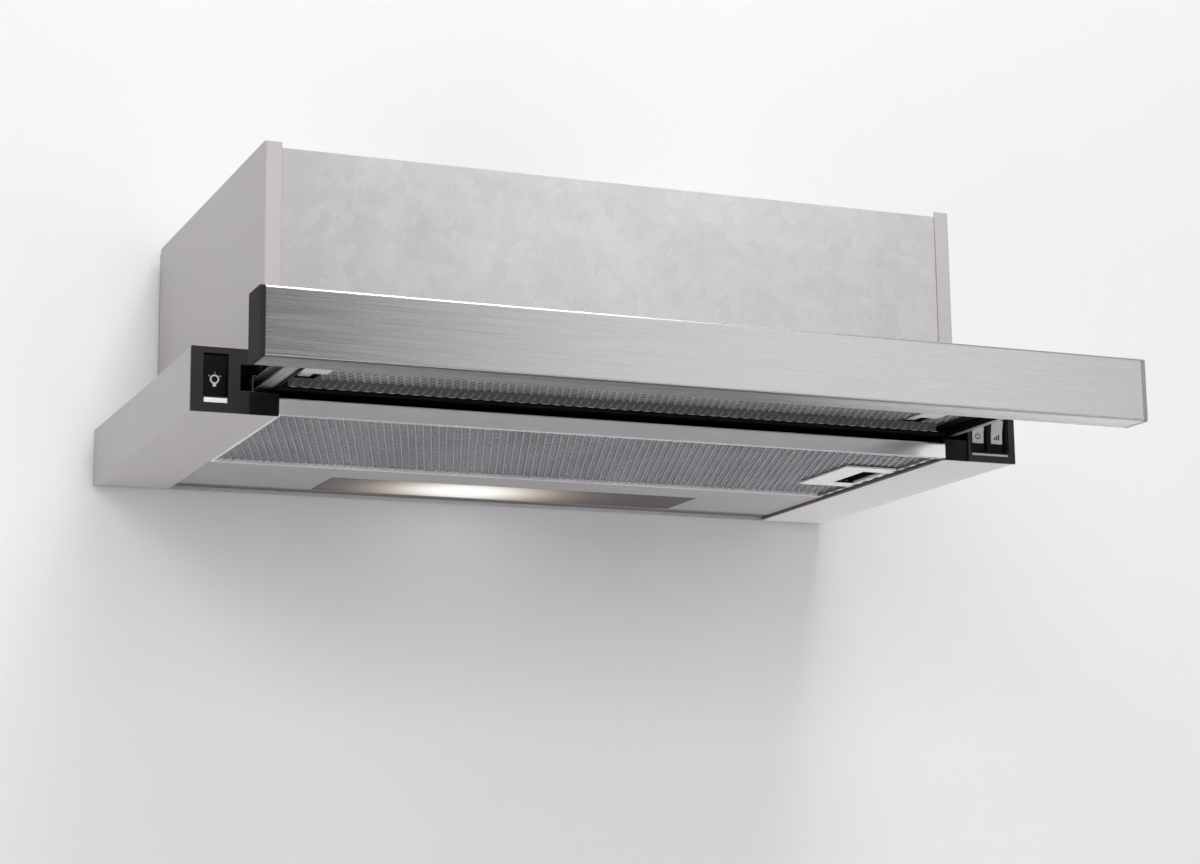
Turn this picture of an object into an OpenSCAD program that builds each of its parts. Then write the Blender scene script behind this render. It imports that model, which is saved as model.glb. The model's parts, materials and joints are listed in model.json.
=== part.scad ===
// Pull out range hood for a wall cabinet: a flat base with two filters and a lamp,
// a sheet metal body with the blower, and a drawer that runs on ball bearing slides.
// Every piece is drawn with the underside of the base at z = 0, the wall at y = 0 and
// the front towards -y, with the drawer pulled out, and seat() then lowers it so that
// the origin lies on the wall at the level of the base's top face.

/* [Base] */
// Overall width of the base
base_w = 598; // [580:1:700]
// Depth of the base from the wall to the front of its end caps
base_d = 294.6; // [290:0.2:320]
// Height of the base
base_h = 41.5; // [41:0.5:46]
// Width of each side wing, from the outer edge to the filter bay
wing_w = 57; // [56:0.5:62]
// Thickness of the base's sheet
base_t = 1; // [0.8:0.1:1.2]

/* [Body] */
// Distance of each side of the body from the base's side
body_in = 46.2; // [40:0.2:48]
// Height of the body above the base
body_h = 139.3; // [139:0.1:180]
// Distance of the body's front from the front of the base's end caps
body_setback = 2; // [0.6:0.2:10]
// Thickness of the body's sheet
body_t = 0.8; // [0.6:0.1:1]
// Width of the front flange of each side sheet
flange_w = 11.5; // [9:0.5:14]

/* [Drawer] */
// Travel of the drawer
travel = 136.8; // [100:0.2:140]
// Height of the front panel
panel_h = 42; // [38:0.5:46]
// Depth of the front panel
panel_d = 26; // [22:0.5:30]
// Thickness of the front panel's steel
panel_t = 1; // [0.8:0.1:1.2]
// Thickness of the end caps of the front panel
end_cap_t = 3; // [2:0.5:5]

/* [Filters] */
// Height of the lower filter's frame
bay_filter_h = 8; // [6:0.5:8]
// Depth of the drawer filter
drawer_filter_d = 138; // [100:1:140]
// Height of the drawer filter's frame
drawer_filter_h = 6.4; // [5:0.2:6.6]

/* [Slides] */
// Height of the fixed slide member
slide_h = 15; // [14:0.5:16]
// Width over both slide members
slide_w = 12.4; // [12:0.1:13]
// Radius of the bearing balls
ball_r = 1.5; // [1.2:0.1:1.6]
// Balls in each raceway
balls = 8; // [4:1:10]

/* [Blower] */
// Radius of the blower wheel
wheel_r = 46; // [40:1:48]
// Length of the blower wheel
wheel_w = 80; // [60:1:84]
// Blades of the blower wheel
blades = 30; // [20:1:36]
// Outer radius of the outlet collar, for a duct of 120 mm
collar_r = 59.75; // [58.5:0.25:60]
// Height of the outlet collar's spigot
collar_h = 36; // [28:1:40]
// Distance of the outlet's centre from the wall
outlet_y = 111; // [108:1:120]

/* [Lamp] */
// Depth of the strip behind the lower filter that holds the lamp
lamp_strip_d = 106; // [100:1:140]
// Width of the lamp lens
lens_w = 292; // [200:1:300]
// Depth of the lamp lens
lens_d = 56; // [50:1:58]
// Radius of the lamp bulb
bulb_r = 12.5; // [11:0.5:13]

/* [Mounting holes] */
// Radius of the wall screw holes
wall_hole_r = 4; // [3:0.25:5]
// Distance of each wall screw hole from the body's side
wall_hole_in = 52.8; // [40:0.2:100]
// Radius of the cabinet screw holes
cabinet_hole_r = 2.25; // [2:0.25:3]
// Radius of the cable hole in the grommet
cable_r = 4.2; // [3.5:0.1:5]

/* [Hidden] */
$fn = 64;

// Overrun of every cut
over = 0.5;
// Gap between pieces that are put together by hand
gap = 0.3;
// Radial play of a running fit
play = 0.05;
// Radial play of a screw in its hole
screw_play = 0.15;
// Middle radius of a sheet's bends
bend_r = 1.3;

// Base
half_w = base_w / 2;
body_w = base_w - 2 * body_in;
body_d = base_d - body_setback;
bay_x = half_w - wing_w;
wing_lip_h = 12;
body_side_gap = 0.4;
wing_top_w = body_in - body_side_gap;
foot_z = base_h - base_t;
deck_t = 0.8;
deck_z = base_h - base_t - deck_t;
deck_lap_w = 4.7;
deck_x = body_w / 2 + deck_lap_w;
deck_rim = 21.5;
deck_hole_x = deck_x - deck_rim;
deck_front_rim = 14.6;
deck_hole_front = base_d - deck_front_rim;
deck_setback = 2.9;
deck_front = base_d - deck_setback;
deck_lap = 2;

// End caps with the controls
cap_t = 2.5;
cap_back = base_d - cap_t;
cap_wall = 1.2;
cap_rim = 9;
cap_rim_gap = 0.5;
cap_rim_x = deck_x + cap_rim_gap;
cap_step = 1.2;
left_notch_w = 25.4;
right_notch_w = 18.6;

// Fascia below the drawer
fascia_t = 0.8;
fascia_low = 1;
fascia_high = 12;
fascia_d = 10;

// Rockers: their middles, widths and lengths, from the underside of the base
light_edge = 15.8;
light_x = half_w - light_edge;
light_z = 23.6;
light_rocker_w = 15.4;
light_rocker_l = 26.4;
power_edge = 28.1;
power_x = half_w - power_edge;
speed_edge = 12.8;
speed_x = half_w - speed_edge;
control_z = 22;
control_rocker_w = 11.6;
control_rocker_l = 27.4;
rocker_tilt = 8;
rocker_pivot = 5.2;
rocker_end = 3;
rocker_mid = 1.8;
rocker_back = 4;
rocker_heel = 1.5;
rocker_taper_share = 0.38;
pin_r = 1.2;
pin_l = 1.4;
switch_wall = 1.2;
switch_d = 17;
well_d = 12;
well_side = 0.35;
well_end = 0.7;
control_window_edge = 36.2;
control_window_x = half_w - control_window_edge;
control_window_w = 31.3;
control_window_low = 6.5;
control_window_high = 37.5;
control_recess = 1.2;
light_bar_w = 15;
light_bar_h = 3;
light_bar_z = 5.9;
control_bar_w = 29;
control_bar_h = 1.4;
control_bar_z = 4.6;

// Drawer slides
slide_z = 22.8;
slide_setback = 14.6;
slide_y0 = base_d - slide_setback;
slide_l = 230;
slide_t = 1.2;
slide_side_gap = 3.6;
slide_inner_x = bay_x + slide_side_gap;
notch_below = 8.1;
notch_low = slide_z - notch_below;
notch_above = 8.7;
notch_high = slide_z + notch_above;
slide_outer_x = slide_inner_x + slide_w;
slide_lap = 1.4;
groove = 0.5;
ball_z = slide_h / 2 - slide_t - ball_r + groove;
member_z = ball_z - ball_r + groove;
ball_inset = 6;
ball_x = slide_inner_x + ball_inset;
member_reach = 2.6;
member_end_x = ball_x + member_reach;
member_l = 240;
cage_t = 0.6;
cage_l = 88;
cage_lap = 2.4;
cage_gap = 0.8;
bracket_t = 1;
bracket_flange = 12;
bracket_setback = 38;
bracket_y0 = base_d - bracket_setback;
bracket_less = 25;
bracket_l = slide_l - bracket_less;

// Front panel and its place with the drawer pulled out
closing_gap = 0.4;
panel_z = 0.7;
panel_back = base_d + closing_gap + travel;
panel_front = panel_back + panel_d;
panel_lip = 8;
panel_x = half_w - end_cap_t;
plug_l = 8;
plug_wall = 1.5;

// Arms, cover, rear bar
arm_t = 1.2;
arm_x = slide_inner_x - arm_t;
arm_below = 5.8;
arm_low = slide_z - arm_below;
arm_above = 7.6;
arm_high = slide_z + arm_above;
arm_flange_w = 7;
arm_gap = 0.4;
arm_front = panel_back - arm_gap;
arm_rear = arm_front - member_l;
cover_t = 0.8;
cover_setback = 63.6;
cover_rear = base_d - cover_setback;
cover_lip = 6;
bar_gap = 0.5;
rear_bar_d = 12;
rear_bar_t = 1.2;
arm_bracket_w = 14;
arm_bracket_h = 20;

// Filters
rail = 2.5;
rail_corner = 4;
net_t = 1.2;
bay_filter_gap = 2;
bay_filter_x = bay_x - bay_filter_gap;
bay_filter_z = 2.5;
bay_filter_setback = 1.8;
bay_filter_front = base_d - bay_filter_setback;
lamp_gap = 0.8;
bay_filter_d = bay_filter_front - lamp_gap - lamp_strip_d;
bay_net_rise = 1.5;
bay_net_z = bay_filter_z + bay_net_rise;
bay_net_across = 20;
bay_net_deep = 12;
tab_w = 20;
tab_h = 2.4;
tab_z = 5;
tab_reach = 3.4;
tab_share = 0.3;
drawer_filter_gap = 1.6;
drawer_filter_x = bay_x - drawer_filter_gap;
drawer_filter_rise = 7;
drawer_filter_z = arm_low + drawer_filter_rise;
drawer_filter_front = panel_back - drawer_filter_gap;
drawer_lip_h = 3.9;
drawer_lip_t = 0.8;
drawer_lip_edge = 4.4;
drawer_net_rise = 1;
drawer_net_z = drawer_filter_z + drawer_net_rise;
drawer_net_across = 24;
drawer_net_deep = 5;
net_bar = 2.2;

// Latch of the lower filter
latch_plate_w = 40.5;
latch_plate_d = 76;
latch_plate_off = 5.8;
latch_plate_y = bay_filter_front - bay_filter_d / 2 - latch_plate_off;
latch_plate_t = 1.2;
latch_cup_w = 19;
latch_cup_d = 49;
latch_cup_in = 1.4;
latch_wall = 1;
latch_lip_t = 1.6;
latch_tongue_w = 19;
latch_tongue_h = 2.4;
latch_tongue_z = 5.4;
latch_reach = 1.4;
latch_play = 0.3;

// Latches of the drawer filter
small_latch_w = 18;
small_latch_d = 32;
small_latch_t = 1;
small_cup_w = 14;
small_cup_d = 30;
small_cup_in = 23;
small_post_d = 3;
small_latch_gap = 0.4;
small_tongue_w = 8;
small_tongue_h = 2;
small_tongue_z = 2.4;
left_latch_edge = 13.4;
left_latch_place = -drawer_filter_x + left_latch_edge;
right_latch_edge = 27.4;
right_latch_x = drawer_filter_x - right_latch_edge;
small_latch_in = 42.8;
small_latch_y = drawer_filter_front - drawer_filter_d + small_latch_in;

// Blower
scroll_step = 8;
scroll_gap = 4;
scroll_t = 2;
scroll_side_gap = 3;
scroll_x = wheel_w / 2 + scroll_side_gap;
scroll_r1 = wheel_r + scroll_gap + scroll_step / 2;
scroll_r2 = scroll_r1 + scroll_step;
scroll_r3 = scroll_r2 + scroll_step;
wheel_y = -outlet_y - scroll_r3 / 2;
blower_low = 3.5;
wheel_z = base_h + blower_low + scroll_t + scroll_r2 + scroll_step / 2;
eye_r = 39;
eye_lip = 3;
blade_t = 0.8;
blade_r = 9;
blade_w = 8;
wheel_in_r = wheel_r - blade_w;
wheel_ring_t = 1.5;
hub_r = 9;
hub_l = 18;
shaft_r = 4;
shaft_out = 44;
top_drop = 3.4;
top_t = 0.8;
top_z = base_h + body_h - top_drop;
top_lip = 9;
outlet_flange = 55;
outlet_flange_t = 3;
outlet_bolt = 50;
motor_r = 33;
motor_gap = 9;
motor_x = scroll_x + scroll_t + motor_gap;
motor_l = 56;
motor_boss_r = 12;
motor_boss_l = 4;
spider_r = 38;
spider_t = 3;
spider_arm_w = 9;
spider_foot_r = 50;

// Outlet collar and its two back draught flaps
collar_t = 1.5;
collar_plate = 62;
collar_plate_t = 2;
collar_corner = 6;
flap_pin_r = 1.5;
flap_t = 1.2;
flap_gap = 0.6;
flap_seat = 3;
flap_seat_t = 1.5;
flap_rise = 8;
knuckle_r = 2.8;
flap_l = 104;
pin_fit = 0.02;

// Lamp
lamp_t = 0.8;
lamp_lip = 9;
lens_x = 6;
lens_y = 44;
lens_t = 1.4;
lens_rim = 2.5;
lens_fit = 0.4;
reflector_x0 = -112;
reflector_x1 = 108;
reflector_half = 34;
reflector_foot = 7;
reflector_top = 36.6;
bulb_x = 22;
bulb_l = 88;
bulb_z = 20.6;
bulb_cap_r = 7;
bulb_cap_l = 20;
holder_r = 12;
holder_l = 32;
holder_foot = 16;
holder_seat = 12;

// Electrics on the body's back
box_in = 52.8;
box_x = -body_w / 2 + box_in;
box_w = 72;
box_d = 28;
box_h = 40;
box_low = 108;
box_corner = 4;
lid_t = 2;
capacitor_r = 14;
capacitor_l = 52;
capacitor_x = -122;
capacitor_low = 38;
clip_t = 1.2;
clip_w = 14;
grommet_in = 37.8;
grommet_x = -body_w / 2 + grommet_in;
grommet_y = 45;
grommet_r = 8;
grommet_neck_r = 6.5;
grommet_lip = 2;
grommet_fit = 0.1;

// Screws
screw_r = 1.6;
head_r = 3.2;
head_h = 1.9;
screw_l = 5;
screw_edge = 6.3;
screw_x = body_w / 2 - screw_edge;
screw_shares = [0.1, 0.37, 0.63, 0.9];
cabinet_edge = 12;
cabinet_x = half_w - cabinet_edge;
cabinet_y_shares = [0.2, 0.8];
wall_hole_z = 100;
wall_hole_x = body_w / 2 - wall_hole_in;

// Colours
paint = [0.70, 0.69, 0.70];
zinc = [0.76, 0.76, 0.77];
steel = [0.62, 0.62, 0.63];
black = [0.10, 0.10, 0.11];
dark = [0.22, 0.21, 0.22];
white = [0.90, 0.90, 0.91];

// The frame of the whole hood: the origin lies on the wall, at the base's top face
module seat() translate([0, 0, -base_h]) children();

// A pair's left piece is the right one mirrored
module left() mirror([1, 0, 0]) children();

// A box between two corners
module block(a, b) translate(a) cube(b - a);

// Outlines drawn in Y and Z and stretched along X, and in X and Z along Y
module along_x(x0, x1) translate([x0, 0, 0]) rotate([90, 0, 90]) linear_extrude(x1 - x0) children();
module along_y(y0, y1) translate([0, y1, 0]) rotate([90, 0, 0]) linear_extrude(y1 - y0) children();
module along_z(z0, z1) translate([0, 0, z0]) linear_extrude(z1 - z0) children();

// Round bars along the three axes, from one end to the other
module bar_x(x0, x1, y, z, r) translate([x0, y, z]) rotate([0, 90, 0]) cylinder(h = x1 - x0, r = r);
module bar_y(y0, y1, x, z, r) translate([x, y1, z]) rotate([90, 0, 0]) cylinder(h = y1 - y0, r = r);
module bar_z(z0, z1, x, y, r) translate([x, y, z0]) cylinder(h = z1 - z0, r = r);

function unit(v) = v / norm(v);

// A sheet of thickness t bent along a path with square corners, given at mid thickness
module bent(path, t) {
    last = len(path) - 1;
    for (i = [0 : last - 1]) {
        run = norm(path[i + 1] - path[i]);
        from = i == 0 ? 0 : bend_r;
        to = i == last - 1 ? run : run - bend_r;
        turn = atan2(path[i + 1][1] - path[i][1], path[i + 1][0] - path[i][0]);
        translate(path[i]) rotate(turn) translate([from, -t / 2]) square([to - from, t]);
    }
    for (i = [1 : last - 1]) {
        back = unit(path[i - 1] - path[i]);
        on = unit(path[i + 1] - path[i]);
        reach = bend_r + t;
        translate(path[i] + bend_r * (back + on)) intersection() {
            difference() {
                circle(bend_r + t / 2);
                circle(bend_r - t / 2);
            }
            polygon([[0, 0], -on * reach, -(on + back) * reach, -back * reach]);
        }
    }
}

// A rectangle with round corners, centred
module round_rect(w, d, r) {
    square([w - 2 * r, d], center = true);
    square([w, d - 2 * r], center = true);
    for (x = [-1, 1], y = [-1, 1]) translate([x * (w / 2 - r), y * (d / 2 - r)]) circle(r);
}

// A pan head screw with its point down and its head on the plane z = 0, with a cross slot
module screw(l) {
    slot = head_r / 4;
    difference() {
        union() {
            translate([0, 0, -l]) cylinder(h = l, r = screw_r);
            cylinder(h = head_h, r = head_r);
        }
        for (a = [0, 90]) rotate(a)
            translate([-head_r * 0.7, -slot / 2, head_h / 2]) cube([head_r * 1.4, slot, head_h]);
    }
}

// Places along the depth of the base
function depth_at(share) = -base_d * share;

// Right wing: a channel of painted sheet that carries the slide and the controls
module wing() {
    mid = base_t / 2;
    difference() {
        along_y(-cap_back, -deck_t) bent([
            [bay_x + mid, wing_lip_h], [bay_x + mid, mid], [half_w - mid, mid],
            [half_w - mid, base_h - mid], [half_w - wing_top_w, base_h - mid]
        ], base_t);
        for (share = cabinet_y_shares)
            bar_z(base_h - base_t - over, base_h + over, cabinet_x, depth_at(share), cabinet_hole_r);
    }
}

module left_wing() color(paint) difference() {
    left() wing();
    for (share = [tab_share, 1 - tab_share]) {
        y = -bay_filter_front + bay_filter_d * share;
        block([-bay_x - base_t - over, y - tab_w / 2 - gap, tab_z - gap],
              [-bay_x + over, y + tab_w / 2 + gap, tab_z + tab_h + gap]);
    }
}

module right_wing() color(paint) difference() {
    wing();
    block([bay_x - over, -latch_plate_y - latch_tongue_w / 2 - gap, latch_tongue_z - gap],
          [bay_x + base_t + over, -latch_plate_y + latch_tongue_w / 2 + gap,
           latch_tongue_z + latch_tongue_h + gap]);
}

// Deck over the drawer with the air opening, bent down to close the back of the base
module base_deck() color(zinc) difference() {
    union() {
        along_x(-deck_x, deck_x) bent([
            [-deck_t / 2, 0], [-deck_t / 2, deck_z + deck_t / 2], [-deck_front, deck_z + deck_t / 2]
        ], deck_t);
        for (x = [-half_w, deck_x - over])
            block([x, -deck_t, 0], [x + half_w - deck_x + over, 0, deck_z]);
    }
    block([-deck_hole_x, -deck_hole_front, deck_z - over],
          [deck_hole_x, -lamp_strip_d + deck_lap, deck_z + deck_t + over]);
    for (x = [-screw_x, screw_x], share = screw_shares)
        bar_z(deck_z - over, deck_z + deck_t + over, x, depth_at(share), screw_r + screw_play);
}

// Strip behind the lower filter that holds the lamp lens
module lamp_panel() color(paint) difference() {
    z = bay_filter_z + lamp_t / 2;
    along_x(-bay_x + gap, bay_x - gap) bent([
        [-lamp_strip_d + lamp_t / 2, z + lamp_lip], [-lamp_strip_d + lamp_t / 2, z],
        [-deck_t - lamp_t / 2, z], [-deck_t - lamp_t / 2, z + lamp_lip]
    ], lamp_t);
    block([lens_x - lens_w / 2, -lens_y - lens_d / 2, bay_filter_z - over],
          [lens_x + lens_w / 2, -lens_y + lens_d / 2, bay_filter_z + lamp_t + over]);
}

// Steel strip between the two end caps, below the drawer
module front_fascia() color(steel) along_x(-bay_x, bay_x) bent([
    [-base_d + fascia_t / 2, fascia_low],
    [-base_d + fascia_t / 2, fascia_high - fascia_t / 2],
    [-base_d + fascia_d, fascia_high - fascia_t / 2]
], fascia_t);

// Right side of the body: front and back flanges, and a foot flange on the deck
module body_side() {
    mid = body_t / 2;
    difference() {
        union() {
            along_z(foot_z, base_h + body_h) bent([
                [body_w / 2 - flange_w, -body_d + mid], [body_w / 2 - mid, -body_d + mid],
                [body_w / 2 - mid, -body_t - mid], [body_w / 2 - flange_w, -body_t - mid]
            ], body_t);
            block([body_w / 2 - flange_w, -body_d + body_t + bend_r, foot_z],
                  [body_w / 2 - mid, -2 * body_t - bend_r, foot_z + body_t]);
        }
        block([body_w / 2 - flange_w - over, -body_d - over, foot_z - over],
              [body_w / 2 + over, -cap_back + gap, base_h]);
        for (share = screw_shares)
            bar_z(foot_z - over, foot_z + body_t + over, screw_x, depth_at(share), screw_r + screw_play);
    }
}

module left_body_side() color(paint) left() body_side();
module right_body_side() color(paint) body_side();

// Galvanised front sheet, behind the flanges of the sides
module body_front() color(zinc) {
    x = body_w / 2 - body_t - bend_r;
    block([-x, -body_d + body_t, foot_z], [x, -body_d + 2 * body_t, top_z]);
}

// Back sheet against the wall, with the two wall screw holes
module body_back() color(zinc) difference() {
    block([-body_w / 2, -body_t, foot_z], [body_w / 2, 0, top_z]);
    for (x = [-wall_hole_x, wall_hole_x]) bar_y(-body_t - over, over, x, wall_hole_z, wall_hole_r);
}

// Top sheet with the holes for the outlet and the cable
module body_top() color(zinc) difference() {
    x = body_w / 2 - body_t - top_t / 2;
    end = 2 * body_t + bend_r;
    along_y(-body_d + end, -end) bent([
        [-x, top_z - top_lip], [-x, top_z - top_t / 2],
        [x, top_z - top_t / 2], [x, top_z - top_lip]
    ], top_t);
    bar_z(top_z - top_t - over, top_z + over, 0, -outlet_y, collar_r - collar_t);
    outlet_bolts() cylinder(h = 2 * top_lip, r = screw_r + screw_play, center = true);
    bar_z(top_z - top_t - over, top_z + over, grommet_x, -grommet_y, grommet_neck_r + grommet_fit);
}

// The four bolt places round the outlet
module outlet_bolts() for (x = [-outlet_bolt, outlet_bolt], y = [-outlet_bolt, outlet_bolt])
    translate([x, y - outlet_y, top_z]) children();

// Moulded end cap of the right wing, with the notch that the drawer's arm passes through
module control_cap(notch_w) {
    rim_back = cap_back - cap_rim;
    notch_x = bay_x + notch_w;
    difference() {
        union() {
            block([bay_x, -base_d, 0], [half_w, -cap_back, base_h]);
            difference() {
                block([cap_rim_x, -cap_back - over, base_t + gap],
                      [half_w - base_t - gap, -rim_back, base_h - base_t - gap]);
                block([cap_rim_x + cap_wall, -cap_back, base_t + gap + cap_wall],
                      [half_w - base_t - gap - cap_wall, -rim_back + over,
                       base_h - base_t - gap - cap_wall]);
            }
        }
        block([bay_x - over, -base_d - over, notch_low], [notch_x, -rim_back + over, notch_high]);
        block([bay_x - over, -base_d - over, -over], [notch_x, -base_d + cap_step, notch_low]);
    }
}

module left_control_cap() color(black) left() difference() {
    control_cap(left_notch_w);
    switch_well(light_x, light_z, light_rocker_w, light_rocker_l, base_d + over, cap_back - over);
    indicator_slot(light_x, light_bar_w, light_bar_z, light_bar_h);
}

module right_control_cap() color(black) difference() {
    control_cap(right_notch_w);
    block([control_window_x, -base_d - over, control_window_low],
          [control_window_x + control_window_w, -cap_back + over, control_window_high]);
    indicator_slot(control_window_x + control_window_w / 2, control_bar_w, control_bar_z, control_bar_h);
}

// Slot of a light bar through the face of a cap
module indicator_slot(x, w, z, h)
    block([x - w / 2, -base_d - over, z], [x + w / 2, -cap_back + over, z + h]);

// Light bar that fills its slot
module indicator(x, w, z, h) block([x - w / 2, -base_d, z], [x + w / 2, -cap_back, z + h]);

module light_indicator() color(white) left() indicator(light_x, light_bar_w, light_bar_z, light_bar_h);
module control_indicator() color(white)
    indicator(control_window_x + control_window_w / 2, control_bar_w, control_bar_z, control_bar_h);

// Space round a rocker, from one depth to another
module switch_well(x, z, w, l, front, back)
    block([x - w / 2 - well_side, -front, z - l / 2 - well_end],
          [x + w / 2 + well_side, -back, z + l / 2 + well_end]);

// Bore for a rocker's pins
module switch_bore(x, z, w)
    bar_x(x - w / 2 - pin_l - gap, x + w / 2 + pin_l + gap, -base_d + rocker_pivot, z, pin_r + play);

module light_switch_body() color(dark) left() difference() {
    w = light_rocker_w / 2 + well_side + switch_wall;
    l = light_rocker_l / 2 + well_end + switch_wall;
    block([light_x - w, -cap_back, light_z - l], [light_x + w, -cap_back + switch_d, light_z + l]);
    switch_well(light_x, light_z, light_rocker_w, light_rocker_l, cap_back + over, cap_back - well_d);
    switch_bore(light_x, light_z, light_rocker_w);
}

module control_switch_body() color(dark) difference() {
    front = base_d - control_recess;
    block([control_window_x + gap, -front, control_window_low + gap],
          [control_window_x + control_window_w - gap, -front + switch_d, control_window_high - gap]);
    for (x = [power_x, speed_x]) {
        switch_well(x, control_z, control_rocker_w, control_rocker_l, front + over, front - well_d);
        switch_bore(x, control_z, control_rocker_w);
    }
}

// Rocker with two sloping faces, tilted with its lower half pressed in
module rocker(x, z, w, l) translate([0, -base_d + rocker_pivot, z]) rotate([rocker_tilt, 0, 0]) {
    half = l / 2;
    back = half * rocker_taper_share;
    along_x(x - w / 2, x + w / 2) polygon([
        [-rocker_end, half], [-rocker_mid, 0], [-rocker_end, -half], [rocker_heel, -half],
        [rocker_back, -back], [rocker_back, back], [rocker_heel, half]
    ]);
    bar_x(x - w / 2 - pin_l, x + w / 2 + pin_l, 0, 0, pin_r);
}

module light_rocker() color(black) left() rocker(light_x, light_z, light_rocker_w, light_rocker_l);
module power_rocker() color(black) rocker(power_x, control_z, control_rocker_w, control_rocker_l);
module speed_rocker() color(black) rocker(speed_x, control_z, control_rocker_w, control_rocker_l);

// Sheet bracket in a wing that the fixed slide member is screwed to
module slide_bracket() {
    mid = bracket_t / 2;
    low = base_t + mid;
    high = base_h - base_t - mid;
    difference() {
        along_y(-bracket_y0, -bracket_y0 + bracket_l) bent([
            [slide_outer_x + bracket_flange, low], [slide_outer_x + mid, low],
            [slide_outer_x + mid, high], [slide_outer_x + bracket_flange, high]
        ], bracket_t);
        slide_screw_places() cylinder(h = 2 * bracket_flange, r = screw_r + screw_play, center = true);
    }
}

module slide_brackets() color(zinc) {
    slide_bracket();
    left() slide_bracket();
}

// Places of the screws that hold a fixed slide member, on the bracket's face
module slide_screw_places() for (share = screw_shares)
    translate([slide_outer_x + bracket_t, -bracket_y0 + bracket_l * share, slide_z])
        rotate([0, 90, 0]) children();

// Both raceways as seen along the slide
module raceways() for (z = [-ball_z, ball_z]) translate([ball_x, z]) circle(ball_r + play);

// Fixed slide member: a channel whose flanges hold the outer raceways
module slide_outer() difference() {
    translate([0, 0, slide_z]) along_y(-slide_y0, -slide_y0 + slide_l) difference() {
        translate([slide_inner_x + slide_lap, -slide_h / 2])
            square([slide_w - slide_lap, slide_h]);
        translate([slide_inner_x, -slide_h / 2 + slide_t])
            square([slide_w - slide_t, slide_h - 2 * slide_t]);
        raceways();
    }
    slide_screw_places() cylinder(h = 4 * slide_t, r = screw_r + screw_play, center = true);
}

module left_slide_outer() color(zinc) left() slide_outer();
module right_slide_outer() color(zinc) slide_outer();

// Moving slide member: a channel whose flanges hold the inner raceways
module slide_inner() translate([0, 0, slide_z]) along_y(-arm_front, -arm_rear) difference() {
    translate([slide_inner_x, -member_z]) square([member_end_x - slide_inner_x, 2 * member_z]);
    translate([slide_inner_x + slide_t, -member_z + slide_t])
        square([member_end_x - slide_inner_x, 2 * (member_z - slide_t)]);
    raceways();
}

module left_slide_inner() color(zinc) left() slide_inner();
module right_slide_inner() color(zinc) slide_inner();

// Places of the balls of the right slide, upper and lower row
module ball_places() for (i = [0 : balls - 1], z = [-ball_z, ball_z])
    translate([ball_x, -slide_y0 + cage_l * (i + 0.5) / balls, slide_z + z]) children();

// Cage that keeps the balls apart, between the two slide members
module ball_cage() difference() {
    translate([0, 0, slide_z]) along_y(-slide_y0 + gap, -slide_y0 + cage_l) difference() {
        translate([ball_x - cage_lap, -ball_z - cage_t / 2])
            square([member_end_x + cage_gap + cage_t - ball_x + cage_lap, 2 * ball_z + cage_t]);
        translate([ball_x - cage_lap - over, -ball_z + cage_t / 2])
            square([member_end_x + cage_gap - ball_x + cage_lap + over, 2 * ball_z - cage_t]);
    }
    ball_places() cylinder(h = 2 * cage_t, r = ball_r + play, center = true);
}

module left_ball_cage() color(steel) left() ball_cage();
module right_ball_cage() color(steel) ball_cage();

module bearing_balls() color(steel) {
    ball_places() sphere(r = ball_r);
    left() ball_places() sphere(r = ball_r);
}

// Front panel: brushed steel bent back at the top and bottom, with two turned in lips
module drawer_front() color(steel) {
    mid = panel_t / 2;
    top = panel_z + panel_h;
    along_x(-panel_x, panel_x) bent([
        [-panel_back - mid, panel_z + panel_lip], [-panel_back - mid, panel_z + mid],
        [-panel_front + mid, panel_z + mid], [-panel_front + mid, top - mid],
        [-panel_back - mid, top - mid], [-panel_back - mid, top - panel_lip]
    ], panel_t);
}

// Cap that closes the right end of the panel, with a collar that plugs into it
module end_cap() translate([0, -(panel_front + panel_back) / 2, panel_z + panel_h / 2]) {
    plug_d = panel_d - 2 * (panel_t + gap);
    plug_h = panel_h - 2 * (panel_t + gap);
    along_x(panel_x, half_w) round_rect(panel_d, panel_h, bend_r + panel_t / 2);
    along_x(panel_x - plug_l, panel_x) difference() {
        round_rect(plug_d, plug_h, bend_r);
        square([plug_d - 2 * plug_wall, plug_h - 2 * plug_wall], center = true);
    }
}

module drawer_left_cap() color(black) left() end_cap();
module drawer_right_cap() color(steel) end_cap();

// Right arm of the drawer: a plate with a ledge for the filter
module drawer_arm() {
    ledge_rear = drawer_filter_front - drawer_filter_d;
    block([arm_x, -arm_front, arm_low], [slide_inner_x, -arm_rear, arm_high]);
    block([arm_x - arm_flange_w, -arm_front, drawer_filter_z - arm_t],
          [arm_x + arm_t / 2, -ledge_rear, drawer_filter_z]);
}

module left_drawer_arm() color(black) left() drawer_arm();
module right_drawer_arm() color(black) drawer_arm();

// Hollow block that joins an arm to the inside of the panel
module arm_bracket() {
    mid_z = panel_z + panel_h / 2;
    front = panel_front - panel_t;
    difference() {
        block([slide_inner_x - arm_bracket_w, -front, mid_z - arm_bracket_h / 2],
              [slide_inner_x + arm_t, -arm_front, mid_z + arm_bracket_h / 2]);
        block([slide_inner_x - arm_bracket_w + arm_t, -front - over, mid_z - arm_bracket_h / 2 + arm_t],
              [slide_inner_x, -arm_front - arm_t * 2, mid_z + arm_bracket_h / 2 - arm_t]);
    }
}

module arm_brackets() color(black) {
    arm_bracket();
    left() arm_bracket();
}

// Cover sheet over the drawer's filter, with a lip at its back edge
module drawer_cover() color(dark) {
    block([-slide_inner_x, -arm_front, arm_high], [slide_inner_x, -cover_rear, arm_high + cover_t]);
    block([-arm_x + gap, -cover_rear - cover_t, arm_high - cover_lip],
          [arm_x - gap, -cover_rear, arm_high + cover_t / 2]);
}

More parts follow.
